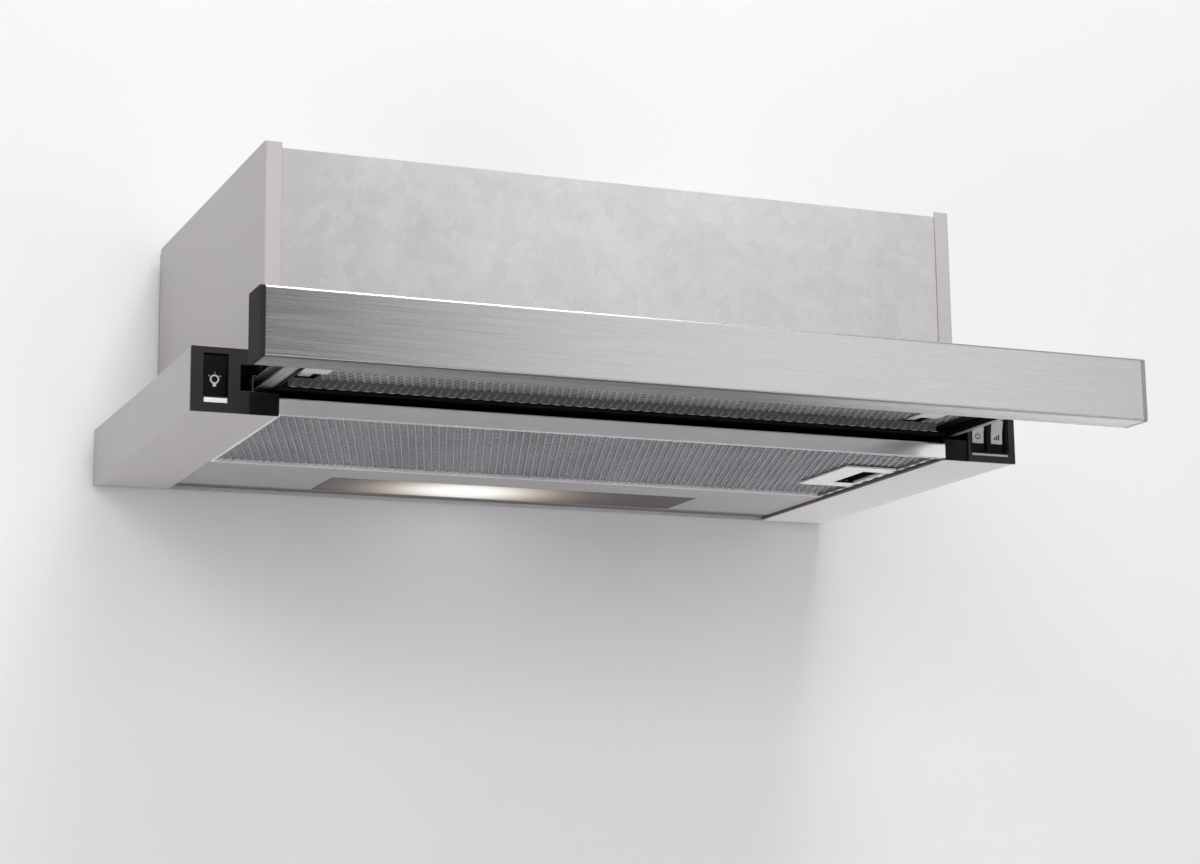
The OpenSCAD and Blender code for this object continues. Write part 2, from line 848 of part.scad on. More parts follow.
// Cross bar behind the drawer's filter, with the slots that its latches catch in
module drawer_rear_bar() color(black) difference() {
    front = -drawer_filter_front + drawer_filter_d + bar_gap;
    mid = rear_bar_t / 2;
    along_x(-arm_x, arm_x) bent([
        [front + mid, arm_high], [front + mid, arm_low + mid],
        [front + rear_bar_d - mid, arm_low + mid], [front + rear_bar_d - mid, arm_high]
    ], rear_bar_t);
    small_tongue_space(left_latch_place, front - over, front + rear_bar_t + over);
    small_tongue_space(right_latch_x, front - over, front + rear_bar_t + over);
}

// Room for the tongue of a drawer latch, from one depth to another
module small_tongue_space(x, y0, y1) {
    z = drawer_filter_z + small_tongue_z;
    block([x - small_tongue_w / 2 - gap, y0, z - gap],
          [x + small_tongue_w / 2 + gap, y1, z + small_tongue_h + gap]);
}

// Frame of a flat filter
module filter_ring(x, front, d, z, h) translate([0, -front + d / 2, 0]) along_z(z, z + h) difference() {
    round_rect(2 * x, d, rail_corner);
    square([2 * (x - rail), d - 2 * rail], center = true);
}

// Outline of an expanded metal net: rows of diamond gaps, every other row half a cell along
module net_outline(x, front, d, across, deep) {
    w = 2 * (x - rail);
    l = d - 2 * rail;
    cell_w = w / (across + 0.5);
    cell_l = 2 * l / (deep + 1);
    half_gap_w = cell_w / 2 - net_bar;
    half_gap_l = cell_l / 2 - net_bar;
    translate([0, -front + d / 2]) difference() {
        square([w, l], center = true);
        for (i = [0 : across - 1], j = [0 : deep - 1])
            translate([-w / 2 + cell_w * (i + 0.5 + (j % 2) / 2), -l / 2 + cell_l / 2 * (j + 1)])
                polygon([[-half_gap_w, 0], [0, -half_gap_l], [half_gap_w, 0], [0, half_gap_l]]);
    }
}

// Pocket of a drawer latch in the filter frame, with the channel of its tongue
module small_cup(x) {
    front = -small_latch_y - small_cup_d / 2 + small_cup_in;
    rear = -drawer_filter_front + drawer_filter_d - rail;
    block([x - small_cup_w / 2 - latch_wall, front - latch_wall, drawer_net_z],
          [x + small_cup_w / 2 + latch_wall, rear + over, drawer_filter_z + drawer_filter_h]);
}

module small_cup_room(x) {
    front = -small_latch_y - small_cup_d / 2 + small_cup_in;
    rear = -drawer_filter_front + drawer_filter_d;
    block([x - small_cup_w / 2, front, drawer_net_z - over],
          [x + small_cup_w / 2, front + small_cup_d, drawer_filter_z + drawer_filter_h - latch_wall]);
    small_tongue_space(x, front + small_cup_d - over, rear + over);
}

// Lip along the rear of the drawer's filter, turned down in front of the rear bar
module drawer_filter_lip() {
    lip_x = drawer_filter_x - drawer_lip_edge;
    rear = -drawer_filter_front + drawer_filter_d;
    block([-lip_x, rear - drawer_lip_t, drawer_filter_z - drawer_lip_h],
          [lip_x, rear, drawer_filter_z + over]);
}

module drawer_filter_frame() color(steel) difference() {
    union() {
        filter_ring(drawer_filter_x, drawer_filter_front, drawer_filter_d, drawer_filter_z,
                    drawer_filter_h);
        small_cup(left_latch_place);
        small_cup(right_latch_x);
        drawer_filter_lip();
    }
    small_cup_room(left_latch_place);
    small_cup_room(right_latch_x);
}

module drawer_filter_net() color(steel) difference() {
    along_z(drawer_net_z, drawer_net_z + net_t)
        net_outline(drawer_filter_x, drawer_filter_front, drawer_filter_d, drawer_net_across,
                    drawer_net_deep);
    small_cup(left_latch_place);
    small_cup(right_latch_x);
}

// Sliding latch of the drawer's filter: a plate, pushed from the pocket behind it, a post and a tongue
module small_latch(x) {
    rear = -small_latch_y + small_latch_d / 2;
    top = drawer_filter_z + small_latch_gap;
    post = rear - small_post_d;
    bar_front = -drawer_filter_front + drawer_filter_d + bar_gap;
    z = drawer_filter_z + small_tongue_z;
    block([x - small_latch_w / 2, rear - small_latch_d, top - small_latch_t],
          [x + small_latch_w / 2, rear, top]);
    block([x - small_tongue_w / 2, post, top - over], [x + small_tongue_w / 2, rear, z + small_tongue_h]);
    block([x - small_tongue_w / 2, rear - over, z],
          [x + small_tongue_w / 2, bar_front + rear_bar_t, z + small_tongue_h]);
}

module left_drawer_latch() color(white) small_latch(left_latch_place);
module right_drawer_latch() color(white) small_latch(right_latch_x);

// Lower filter with two tabs on its left and its latch on the right
module filter_frame() color(steel) difference() {
    union() {
        filter_ring(bay_filter_x, bay_filter_front, bay_filter_d, bay_filter_z, bay_filter_h);
        for (share = [tab_share, 1 - tab_share]) {
            y = -bay_filter_front + bay_filter_d * share;
            block([-bay_filter_x - tab_reach, y - tab_w / 2, tab_z],
                  [-bay_filter_x + rail / 2, y + tab_w / 2, tab_z + tab_h]);
        }
    }
    tongue_slot(bay_filter_x - rail - over, bay_filter_x + over);
}

module filter_net() color(steel) difference() {
    along_z(bay_net_z, bay_net_z + net_t)
        net_outline(bay_filter_x, bay_filter_front, bay_filter_d, bay_net_across, bay_net_deep);
    latch_cup(0);
}

// Slot for the tongue of the lower latch, from one side to the other
module tongue_slot(x0, x1)
    block([x0, -latch_plate_y - latch_tongue_w / 2 - latch_play, latch_tongue_z - latch_play],
          [x1, -latch_plate_y + latch_tongue_w / 2 + latch_play,
           latch_tongue_z + latch_tongue_h + latch_play]);

// Outside of the lower latch's pocket, or its inside when drawn in by a wall
module latch_cup(wall) {
    x1 = bay_filter_x - rail - latch_cup_in;
    block([x1 - latch_cup_w + wall, -latch_plate_y - latch_cup_d / 2 + wall,
           bay_filter_z - (wall > 0 ? over : 0)],
          [x1 - wall, -latch_plate_y + latch_cup_d / 2 - wall, bay_filter_z + bay_filter_h - wall]);
}

// Moulded plate of the lower latch, with the pocket that a finger reaches into
module filter_latch_plate() color(white) difference() {
    union() {
        x1 = bay_filter_x - rail;
        block([x1 - latch_plate_w, -latch_plate_y - latch_plate_d / 2, bay_filter_z],
              [x1, -latch_plate_y + latch_plate_d / 2, bay_filter_z + latch_plate_t]);
        latch_cup(0);
    }
    latch_cup(latch_wall);
    tongue_slot(bay_filter_x - rail - latch_cup_in - latch_wall - over, bay_filter_x);
}

// Sliding bolt of the lower latch: a finger wall and the tongue that enters the wing
module filter_latch() color(white) {
    x = bay_filter_x - rail - latch_cup_in - latch_wall - latch_play;
    d = latch_cup_d / 2 - latch_wall - latch_play;
    block([x - latch_lip_t, -latch_plate_y - d, bay_filter_z + latch_plate_t + latch_play],
          [x, -latch_plate_y + d, bay_filter_z + bay_filter_h - latch_wall - latch_play]);
    block([x - latch_lip_t / 2, -latch_plate_y - latch_tongue_w / 2, latch_tongue_z],
          [bay_x + latch_reach, -latch_plate_y + latch_tongue_w / 2, latch_tongue_z + latch_tongue_h]);
}

// Frosted lens: a plate in the lamp strip's opening with a rim that rests on its edge
module lamp_lens() color([0.95, 0.93, 0.88]) translate([lens_x, -lens_y, 0]) {
    top = bay_filter_z + lamp_t;
    along_z(bay_filter_z, top + over) square([lens_w - 2 * lens_fit, lens_d - 2 * lens_fit], center = true);
    along_z(top, top + lens_t) square([lens_w + 2 * lens_rim, lens_d + 2 * lens_rim], center = true);
}

// Bent reflector over the bulb, standing on the lamp strip
module lamp_reflector() color(white) {
    foot = bay_filter_z + 1.5 * lamp_t;
    front = -lens_y - reflector_half;
    rear = -lens_y + reflector_half;
    along_x(reflector_x0, reflector_x1) bent([
        [front - reflector_foot, foot], [front, foot], [front, reflector_top - lamp_t / 2],
        [rear, reflector_top - lamp_t / 2], [rear, foot], [rear + reflector_foot, foot]
    ], lamp_t);
}

// Lamp socket, hung from the reflector
module lamp_holder() color(white) difference() {
    x = bulb_x + bulb_cap_l - holder_seat;
    union() {
        bar_x(x, x + holder_l, -lens_y, bulb_z, holder_r);
        block([x, -lens_y - holder_foot / 2, bulb_z], [x + holder_foot, -lens_y + holder_foot / 2,
              reflector_top - lamp_t]);
    }
    bar_x(x - over, bulb_x + bulb_cap_l + gap, -lens_y, bulb_z, bulb_cap_r + gap);
}

// Tube bulb with a round nose, and its metal cap
module lamp_bulb() color([0.96, 0.94, 0.86]) {
    bar_x(bulb_x - bulb_l, bulb_x, -lens_y, bulb_z, bulb_r);
    translate([bulb_x - bulb_l, -lens_y, bulb_z]) sphere(r = bulb_r);
}

module bulb_cap() color(zinc) bar_x(bulb_x, bulb_x + bulb_cap_l, -lens_y, bulb_z, bulb_cap_r);

// Scroll round the wheel: three quarter discs that grow by one step each, a square
// between their centres and the duct that rises from them, all widened by a wall
module scroll(wall) {
    a = [-scroll_step / 2, -scroll_step / 2];
    b = [scroll_step / 2, -scroll_step / 2];
    c = [scroll_step / 2, scroll_step / 2];
    duct_top = top_z - top_t - wheel_z + (wall > 0 ? 0 : over);
    reach = scroll_r3 + scroll_step;
    translate([wheel_y, wheel_z]) {
        translate(a) intersection() {
            circle(scroll_r1 + wall);
            translate([-reach, 0]) square(reach);
        }
        translate(b) intersection() {
            circle(scroll_r2 + wall);
            translate([-reach, -reach]) square(reach);
        }
        translate(c) intersection() {
            circle(scroll_r3 + wall);
            translate([0, -reach]) square(reach);
        }
        translate(a) square(scroll_step);
        translate([a[0] - wall, a[1]]) square([c[0] + scroll_r3 - a[0] + 2 * wall, duct_top - a[1]]);
    }
}

// Right half of the blower housing, with its bell mouth and the outlet's bolt flange
module volute() {
    outer_x = scroll_x + scroll_t;
    flange_z = top_z - top_t - outlet_flange_t;
    difference() {
        union() {
            along_x(0, outer_x) scroll(scroll_t);
            block([0, -outlet_y - outlet_flange, flange_z],
                  [outlet_flange, -outlet_y + outlet_flange, top_z - top_t]);
            translate([outer_x, wheel_y, wheel_z]) rotate([0, 90, 0]) rotate_extrude() difference() {
                translate([eye_r, -over]) square([eye_lip, eye_lip + over]);
                translate([eye_r, eye_lip]) circle(eye_lip - over);
            }
        }
        along_x(-over, scroll_x) scroll(0);
        bar_x(scroll_x - over, outer_x + over, wheel_y, wheel_z, eye_r);
        outlet_bolts() cylinder(h = 4 * outlet_flange_t, r = screw_r + screw_play, center = true);
    }
}

module volute_left() color(dark) left() volute();
module volute_right() color(dark) volute();

// Profile of one forward curved blade, an arc between the inner and outer rings
module blade() translate([wheel_in_r, 0]) intersection() {
    translate([blade_w / 4, blade_r * 0.78]) difference() {
        circle(blade_r);
        circle(blade_r - blade_t);
    }
    square([blade_w - blade_t / 2, blade_r]);
}

// Double inlet wheel: a middle disc, a ring at each end, the blades and the shaft
module impeller() color(zinc) translate([0, wheel_y, wheel_z]) rotate([0, 90, 0]) {
    end = wheel_w / 2;
    translate([0, 0, -wheel_ring_t / 2]) cylinder(h = wheel_ring_t, r = wheel_r);
    for (z = [-end, end - wheel_ring_t]) translate([0, 0, z]) difference() {
        cylinder(h = wheel_ring_t, r = wheel_r);
        translate([0, 0, -over]) cylinder(h = wheel_ring_t + 2 * over, r = wheel_in_r);
    }
    translate([0, 0, -end]) linear_extrude(wheel_w)
        for (i = [0 : blades - 1]) rotate(360 * i / blades) blade();
    translate([0, 0, -hub_l / 2]) cylinder(h = hub_l, r = hub_r);
    translate([0, 0, -hub_l / 2 - over]) cylinder(h = motor_x + shaft_out + hub_l / 2 + over, r = shaft_r);
}

// Motor with its three legged bracket, which stands on the side of the housing
module motor() color(steel) difference() {
    union() {
        bar_x(motor_x, motor_x + motor_l, wheel_y, wheel_z, motor_r);
        bar_x(motor_x - motor_boss_l, motor_x + over, wheel_y, wheel_z, motor_boss_r);
        bar_x(motor_x, motor_x + spider_t, wheel_y, wheel_z, spider_r);
        for (angle = [30, 150, 270]) translate([0, wheel_y, wheel_z]) rotate([angle, 0, 0]) {
            block([motor_x, 0, -spider_arm_w / 2], [motor_x + spider_t, spider_foot_r, spider_arm_w / 2]);
            bar_x(scroll_x + scroll_t, motor_x + spider_t, spider_foot_r, 0, spider_arm_w / 2);
        }
    }
    bar_x(motor_x - motor_boss_l - over, motor_x + shaft_out + over, wheel_y, wheel_z, shaft_r + play);
}

// Outlet collar with a square foot and a seat for the flaps
module outlet_collar() color(black) {
    bore = collar_r - collar_t;
    flap_z = top_z + flap_rise;
    seat_z = flap_z - flap_t / 2;
    difference() {
        union() {
            translate([0, -outlet_y, 0]) along_z(top_z, top_z + collar_plate_t)
                round_rect(2 * collar_plate, 2 * collar_plate, collar_corner);
            bar_z(top_z, top_z + collar_h, 0, -outlet_y, collar_r);
        }
        difference() {
            bar_z(top_z - over, top_z + collar_h + over, 0, -outlet_y, bore);
            difference() {
                bar_z(seat_z - flap_seat_t, seat_z, 0, -outlet_y, bore + over);
                bar_z(seat_z - flap_seat_t - over, seat_z + over, 0, -outlet_y, bore - flap_seat);
                block([-knuckle_r - gap, -outlet_y - collar_r, seat_z - flap_seat_t - over],
                      [knuckle_r + gap, -outlet_y + collar_r, seat_z + over]);
            }
        }
        outlet_bolts() cylinder(h = 4 * collar_plate_t, r = screw_r + screw_play, center = true);
        bar_y(-outlet_y - collar_r - over, -outlet_y + collar_r + over, 0, flap_z, flap_pin_r + pin_fit);
    }
}

// Right flap: half a disc with two of the four knuckles on the pin
module flap(first) translate([0, -outlet_y, top_z + flap_rise]) {
    r = collar_r - collar_t - flap_gap;
    knuckle_l = flap_l / 4;
    difference() {
        union() {
            along_z(-flap_t / 2, flap_t / 2) intersection() {
                circle(r);
                translate([knuckle_r + gap, -r]) square([r, 2 * r]);
            }
            for (i = [first, first + 2]) {
                y = -flap_l / 2 + knuckle_l * i;
                bar_y(y + gap, y + knuckle_l - gap, 0, 0, knuckle_r);
                block([0, y + gap, -flap_t / 2], [knuckle_r + 2 * gap, y + knuckle_l - gap, flap_t / 2]);
            }
        }
        bar_y(-flap_l, flap_l, 0, 0, flap_pin_r + play);
    }
}

module left_flap() color(dark) left() flap(1);
module right_flap() color(dark) flap(0);
module flap_pin() color(steel)
    bar_y(-outlet_y - collar_r + gap / 2, -outlet_y + collar_r - gap / 2, 0, top_z + flap_rise, flap_pin_r);

// Wiring box with a lid, on the back sheet
module junction_box() color(dark) translate([box_x, -body_t, base_h + box_low]) {
    along_box = box_d - lid_t;
    rotate([90, 0, 0]) linear_extrude(along_box) round_rect(box_w - lid_t, box_h - lid_t, box_corner);
    translate([0, -along_box, 0]) rotate([90, 0, 0]) linear_extrude(lid_t)
        round_rect(box_w, box_h, box_corner);
}

// Motor capacitor in its clip, on the back sheet
module capacitor() color(zinc) {
    y = -body_t - clip_t - capacitor_r;
    z = base_h + capacitor_low;
    bar_x(capacitor_x - capacitor_l / 2, capacitor_x + capacitor_l / 2, y, z, capacitor_r);
    bar_x(capacitor_x - clip_w / 2, capacitor_x + clip_w / 2, y, z, capacitor_r + clip_t);
    block([capacitor_x - clip_w / 2, y + capacitor_r, z - capacitor_r - clip_w / 2],
          [capacitor_x + clip_w / 2, -body_t, z + capacitor_r + clip_w / 2]);
}

// Rubber grommet of the mains cable, in the top sheet
module cable_grommet() color(black) translate([grommet_x, -grommet_y, top_z - top_t]) rotate_extrude()
    polygon([
        [cable_r, -grommet_lip], [grommet_r, -grommet_lip], [grommet_r, 0], [grommet_neck_r, 0],
        [grommet_neck_r, top_t], [grommet_r, top_t], [grommet_r, top_t + grommet_lip],
        [cable_r, top_t + grommet_lip]
    ]);

// Screws of the body's feet, the fixed slide members and the outlet
module screws() color(zinc) {
    for (x = [-screw_x, screw_x], share = screw_shares)
        translate([x, depth_at(share), foot_z + body_t]) screw(screw_l);
    slide_screw_places() screw(bracket_t + slide_t);
    left() slide_screw_places() screw(bracket_t + slide_t);
    outlet_bolts() translate([0, 0, collar_plate_t]) screw(collar_plate_t + top_t + outlet_flange_t);
}

seat() left_wing();
seat() right_wing();
seat() base_deck();
seat() lamp_panel();
seat() front_fascia();
seat() left_body_side();
seat() right_body_side();
seat() body_front();
seat() body_back();
seat() body_top();
seat() left_control_cap();
seat() right_control_cap();
seat() light_switch_body();
seat() control_switch_body();
seat() light_rocker();
seat() power_rocker();
seat() speed_rocker();
seat() light_indicator();
seat() control_indicator();
seat() slide_brackets();
seat() left_slide_outer();
seat() right_slide_outer();
seat() left_slide_inner();
seat() right_slide_inner();
seat() left_ball_cage();
seat() right_ball_cage();
seat() bearing_balls();
seat() drawer_front();
seat() drawer_left_cap();
seat() drawer_right_cap();
seat() left_drawer_arm();
seat() right_drawer_arm();
seat() arm_brackets();
seat() drawer_cover();
seat() drawer_rear_bar();
seat() drawer_filter_frame();
seat() drawer_filter_net();
seat() left_drawer_latch();
seat() right_drawer_latch();
seat() filter_frame();
seat() filter_net();
seat() filter_latch_plate();
seat() filter_latch();
seat() lamp_lens();
seat() lamp_reflector();
seat() lamp_holder();
seat() lamp_bulb();
seat() bulb_cap();
seat() volute_left();
seat() volute_right();
seat() impeller();
seat() motor();
seat() outlet_collar();
seat() left_flap();
seat() right_flap();
seat() flap_pin();
seat() junction_box();
seat() capacitor();
seat() cable_grommet();
seat() screws();
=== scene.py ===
"""Looks, stage, light and camera of the pull out range hood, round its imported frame."""
import json
import math

import bmesh
import bpy
from mathutils import Matrix, Vector


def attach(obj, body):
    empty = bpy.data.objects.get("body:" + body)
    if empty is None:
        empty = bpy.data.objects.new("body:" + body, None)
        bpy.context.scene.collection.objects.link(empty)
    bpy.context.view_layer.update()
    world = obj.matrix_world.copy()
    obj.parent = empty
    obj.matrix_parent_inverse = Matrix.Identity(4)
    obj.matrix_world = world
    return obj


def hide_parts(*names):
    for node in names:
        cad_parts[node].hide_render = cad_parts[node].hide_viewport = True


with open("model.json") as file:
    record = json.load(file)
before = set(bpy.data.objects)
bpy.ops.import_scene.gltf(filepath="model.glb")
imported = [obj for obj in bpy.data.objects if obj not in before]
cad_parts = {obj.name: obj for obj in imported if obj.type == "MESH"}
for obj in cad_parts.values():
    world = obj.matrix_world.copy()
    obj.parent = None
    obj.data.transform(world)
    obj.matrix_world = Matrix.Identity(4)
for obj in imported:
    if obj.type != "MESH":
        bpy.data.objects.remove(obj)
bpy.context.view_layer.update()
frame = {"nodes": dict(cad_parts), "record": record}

# Sizes and places are in millimetres and heights count from the base's underside, unless a
# comment says otherwise. The frame is in metres, with z = 0 at the base's top.
MM = 0.001
BASE_TOP = 41.5
# Cells of the expanded metal, across the hood and along its depth
NET_CELL_X = 5.46
NET_CELL_Y = 15.8


def at(x, y, h):
    """A point of the frame, from millimetres and a height above the base's underside."""
    return Vector((x * MM, y * MM, (h - BASE_TOP) * MM))


# ---------------------------------------------------------------- camera
# Fitted to the photograph: turn in radians, place in metres, and focal length in pixels of
# a picture that is PHOTO_WIDTH pixels wide
CAMERA_YAW, CAMERA_PITCH, CAMERA_ROLL = 0.3983, 0.1882, -0.0125
CAMERA_PLACE = (-0.6719, -1.83913, -0.3574)
FOCAL_PIXELS = 2563.5
PHOTO_WIDTH = 1200
SENSOR_WIDTH = 36
CLIP_NEAR, CLIP_FAR = 0.05, 60


def set_camera():
    ahead = Vector((math.sin(CAMERA_YAW) * math.cos(CAMERA_PITCH),
                    math.cos(CAMERA_YAW) * math.cos(CAMERA_PITCH), math.sin(CAMERA_PITCH)))
    level = Vector((math.cos(CAMERA_YAW), -math.sin(CAMERA_YAW), 0))
    upright = level.cross(ahead)
    c, s = math.cos(CAMERA_ROLL), math.sin(CAMERA_ROLL)
    basis = Matrix((c * level + s * upright, -s * level + c * upright, -ahead)).transposed()
    cam = bpy.data.objects.new("camera", bpy.data.cameras.new("camera"))
    cam.data.sensor_width = SENSOR_WIDTH
    cam.data.lens = SENSOR_WIDTH * FOCAL_PIXELS / PHOTO_WIDTH
    cam.data.clip_start, cam.data.clip_end = CLIP_NEAR, CLIP_FAR
    cam.matrix_world = Matrix.Translation(CAMERA_PLACE) @ basis.to_4x4()
    bpy.context.scene.collection.objects.link(cam)
    bpy.context.scene.camera = cam


set_camera()
bpy.context.scene.view_settings.view_transform = "Standard"


# ---------------------------------------------------------------- node helpers
# Radius in metres by which every edge looks rounded, and the rays that find it
EDGE_RADIUS = 0.0005
BEVEL_SAMPLES = 4


class Tree:
    """Short calls for a node tree."""

    def __init__(self, tree):
        self.tree = tree
        self.tree.nodes.clear()

    def add(self, kind, inputs=(), **props):
        node = self.tree.nodes.new(kind)
        for key, value in props.items():
            setattr(node, key, value)
        for key, value in dict(inputs).items():
            self.put(node, key, value)
        return node

    def put(self, node, key, value):
        socket = node.inputs[key]
        if isinstance(value, bpy.types.NodeSocket):
            self.tree.links.new(value, socket)
        elif isinstance(value, bpy.types.Node):
            self.tree.links.new(value.outputs[0], socket)
        else:
            socket.default_value = value

    def math(self, op, a, b=0.0):
        return self.add("ShaderNodeMath", {0: a, 1: b}, operation=op).outputs[0]

    def chain(self, op, first, *values):
        """Values joined one after the other by a math operation."""
        for value in values:
            first = self.math(op, first, value)
        return first

    def weighted(self, *terms):
        """Sum of values, each times its share."""
        return self.chain("ADD", *[self.math("MULTIPLY", value, share) for value, share in terms])

    def between(self, value, lo, hi):
        """1 where the value lies between two limits in millimetres, elsewhere 0."""
        return self.math("MULTIPLY", self.math("GREATER_THAN", value, lo * MM),
                         self.math("LESS_THAN", value, hi * MM))

    def remap(self, value, lo, hi, to_lo=0.0, to_hi=1.0, kind="LINEAR"):
        return self.add("ShaderNodeMapRange", {
            "Value": value, "From Min": lo, "From Max": hi, "To Min": to_lo, "To Max": to_hi
        }, interpolation_type=kind).outputs[0]

    def mix(self, factor, a, b):
        """Colour between a and b. A Mix node has its colours at inputs 6 and 7 and output 2."""
        return self.add("ShaderNodeMix", {0: factor, 6: a, 7: b}, data_type="RGBA").outputs[2]

    def place(self):
        """The x, y and z sockets of the point, in metres in the frame."""
        coords = self.add("ShaderNodeTexCoord").outputs["Object"]
        return self.add("ShaderNodeSeparateXYZ", {0: coords}).outputs

    def scaled(self, scale=(1, 1, 1)):
        """The point's place, stretched by a scale for each axis."""
        coords = self.add("ShaderNodeTexCoord").outputs["Object"]
        return self.add("ShaderNodeMapping", {"Vector": coords, "Scale": scale}).outputs[0]

    def noise(self, scale, detail=2.0, stretch=(1, 1, 1), rough=0.5):
        return self.add("ShaderNodeTexNoise", {
            "Vector": self.scaled(stretch), "Scale": scale, "Detail": detail, "Roughness": rough
        }).outputs["Fac"]

    def bump(self, height, strength, distance):
        """Surface normal with a fine relief and softly rounded edges."""
        soft = self.add("ShaderNodeBevel", {"Radius": EDGE_RADIUS}, samples=BEVEL_SAMPLES)
        return self.add("ShaderNodeBump", {
            "Height": height, "Strength": strength, "Distance": distance, "Normal": soft
        }).outputs[0]

    def surface(self, kind, inputs):
        """Shader that the material shows, returned for more of its sockets."""
        shader = self.add(kind, inputs)
        self.add("ShaderNodeOutputMaterial", {"Surface": shader})
        return shader


def new_material(name):
    mat = bpy.data.materials.new(name)
    mat.use_nodes = True
    return mat, Tree(mat.node_tree)


def rgb(r, g, b):
    return (r, g, b, 1.0)


def shade(colour, factor):
    return rgb(*[min(1.0, c * factor) for c in colour[:3]])


def set_sockets(shader, sockets):
    """Constants for a shader, given as names with _ for a space."""
    for key, value in sockets.items():
        shader.inputs[key.replace("_", " ")].default_value = value


# Painted shade: colour mixed into pockets, gaps, steps and borders that lie in deep shadow
PAINTED_SHADE_BLACK = rgb(0.004, 0.0036, 0.004)
LEAST_ROUGHNESS = 0.02


def material(name, base, rough=0.5, metallic=0.0, spread=0.06, grain=900.0, bump=0.15,
             depth=0.00008, rough_spread=0.08, blotch=18.0, dark=None, **sockets):
    """Principled material with fine grain, broad tone changes and a bump, all procedural.

    dark, where given, makes the share of the colour that is nearly black from the tree: painted
    shade."""
    mat, t = new_material(name)
    fine = t.noise(grain, 3.0)
    tone = t.weighted((fine, 0.5), (t.noise(blotch), 0.5))
    colour = t.mix(t.remap(tone, 0.35, 0.65), shade(base, 1 - spread), shade(base, 1 + spread))
    if dark:
        colour = t.mix(dark(t), colour, PAINTED_SHADE_BLACK)
    smoothest = max(LEAST_ROUGHNESS, rough - rough_spread)
    shader = t.surface("ShaderNodeBsdfPrincipled", {
        "Base Color": colour,
        "Metallic": metallic,
        "Roughness": t.remap(tone, 0.3, 0.7, smoothest, rough + rough_spread),
        "Normal": t.bump(fine, bump, depth),
    })
    set_sockets(shader, sockets)
    mat.diffuse_color = base
    return mat


# ---------------------------------------------------------------- materials
# Flakes of the zinc coat: cells to the metre, and how far their outlines are bent, in metres
FLAKE_CELLS = 120.0
FLAKE_BEND_CELLS = 60.0
FLAKE_BEND = 0.012
# Painted sheen: the sheet is drawn brightest here and falls off with the square of the distance in
# metres
SHEEN_X = 30
SHEEN_FALL = 4.32


def galvanised():
    """Zinc coat with its frosted flakes, a centimetre across and faintly lighter or darker, under a
    painted sheen that is brightest a little right of the middle.
    """
    mat, t = new_material("galvanised")
    warp = t.add("ShaderNodeTexNoise", {
        "Vector": t.scaled(), "Scale": FLAKE_BEND_CELLS, "Detail": 2.0
    }).outputs["Color"]
    bend = t.add("ShaderNodeVectorMath", {0: warp, "Scale": FLAKE_BEND}, operation="SCALE")
    bent = t.add("ShaderNodeVectorMath", {0: t.scaled(), 1: bend}, operation="ADD")
    flakes = t.add("ShaderNodeTexVoronoi", {"Vector": bent, "Scale": FLAKE_CELLS})
    flake = t.add("ShaderNodeSeparateColor", {0: flakes.outputs["Color"]})
    tone = t.weighted((flake.outputs[0], 0.20), (t.noise(22.0, 3.0), 0.50),
                      (t.noise(420.0, 3.0), 0.30))
    faint = t.math("ADD", t.math("MULTIPLY", tone, 0.5), 0.25)
    away = t.math("SUBTRACT", t.place()[0], SHEEN_X * MM)
    sheen_drop = t.chain("MULTIPLY", away, away, SHEEN_FALL)
    t.surface("ShaderNodeBsdfPrincipled", {
        "Base Color": t.mix(t.remap(t.math("SUBTRACT", faint, sheen_drop), 0.2, 0.7),
                            rgb(0.545, 0.53, 0.55), rgb(0.82, 0.805, 0.825)),
        "Metallic": 0.30,
        "Roughness": t.remap(tone, 0.3, 0.7, 0.42, 0.56),
        "Normal": t.bump(tone, 0.05, 0.0002),
    })
    return mat


# Brush lines to the metre along x, y and z: wide, long and short ones
WIDE_LINES = (9, 260, 520)
LONG_LINES = (16, 900, 1500)
SHORT_LINES = (60, 2500, 4200)
LINE_CONTRAST = 0.10
# A face counts as an underside where its normal's z is below this
DOWNWARD = -0.5


def brushed(name, base, rough, streak=1.0, under=None, **sockets):
    """Stainless steel with long horizontal brush lines, and with another colour below.

    under, where given, makes the colour of the faces that look down from the tree; the one given
    here is a painted reflection."""
    mat, t = new_material(name)
    lines = t.weighted((t.noise(1.0, 3.0, WIDE_LINES, 0.55), 0.36),
                       (t.noise(1.0, 3.0, LONG_LINES, 0.6), 0.40),
                       (t.noise(1.0, 2.0, SHORT_LINES, 0.6), 0.24))
    contrast = LINE_CONTRAST * streak
    colour = t.mix(t.remap(lines, 0.36, 0.64), shade(base, 1 - contrast), shade(base, 1 + contrast))
    if under:
        true_normal = t.add("ShaderNodeNewGeometry").outputs["True Normal"]
        normal = t.add("ShaderNodeSeparateXYZ", {0: true_normal})
        colour = t.mix(t.math("LESS_THAN", normal.outputs[2], DOWNWARD), colour, under(t))
    shader = t.surface("ShaderNodeBsdfPrincipled", {
        "Base Color": colour,
        "Metallic": 1.0,
        "Roughness": t.remap(lines, 0.3, 0.7, rough - 0.04, rough + 0.06),
        "Normal": t.bump(lines, 0.05 * streak, 0.00005),
        "Anisotropic": 0.65,
        "Anisotropic Rotation": 0.25,
        "Tangent": t.add("ShaderNodeTangent", direction_type="RADIAL", axis="Z"),
    })
    set_sockets(shader, sockets)
    return mat


# Where the painted reflection on the underside of the drawer's panel turns from dark to light, from
# left to right
UNDERSIDE_REFLECTION_TURN = (20, 260)


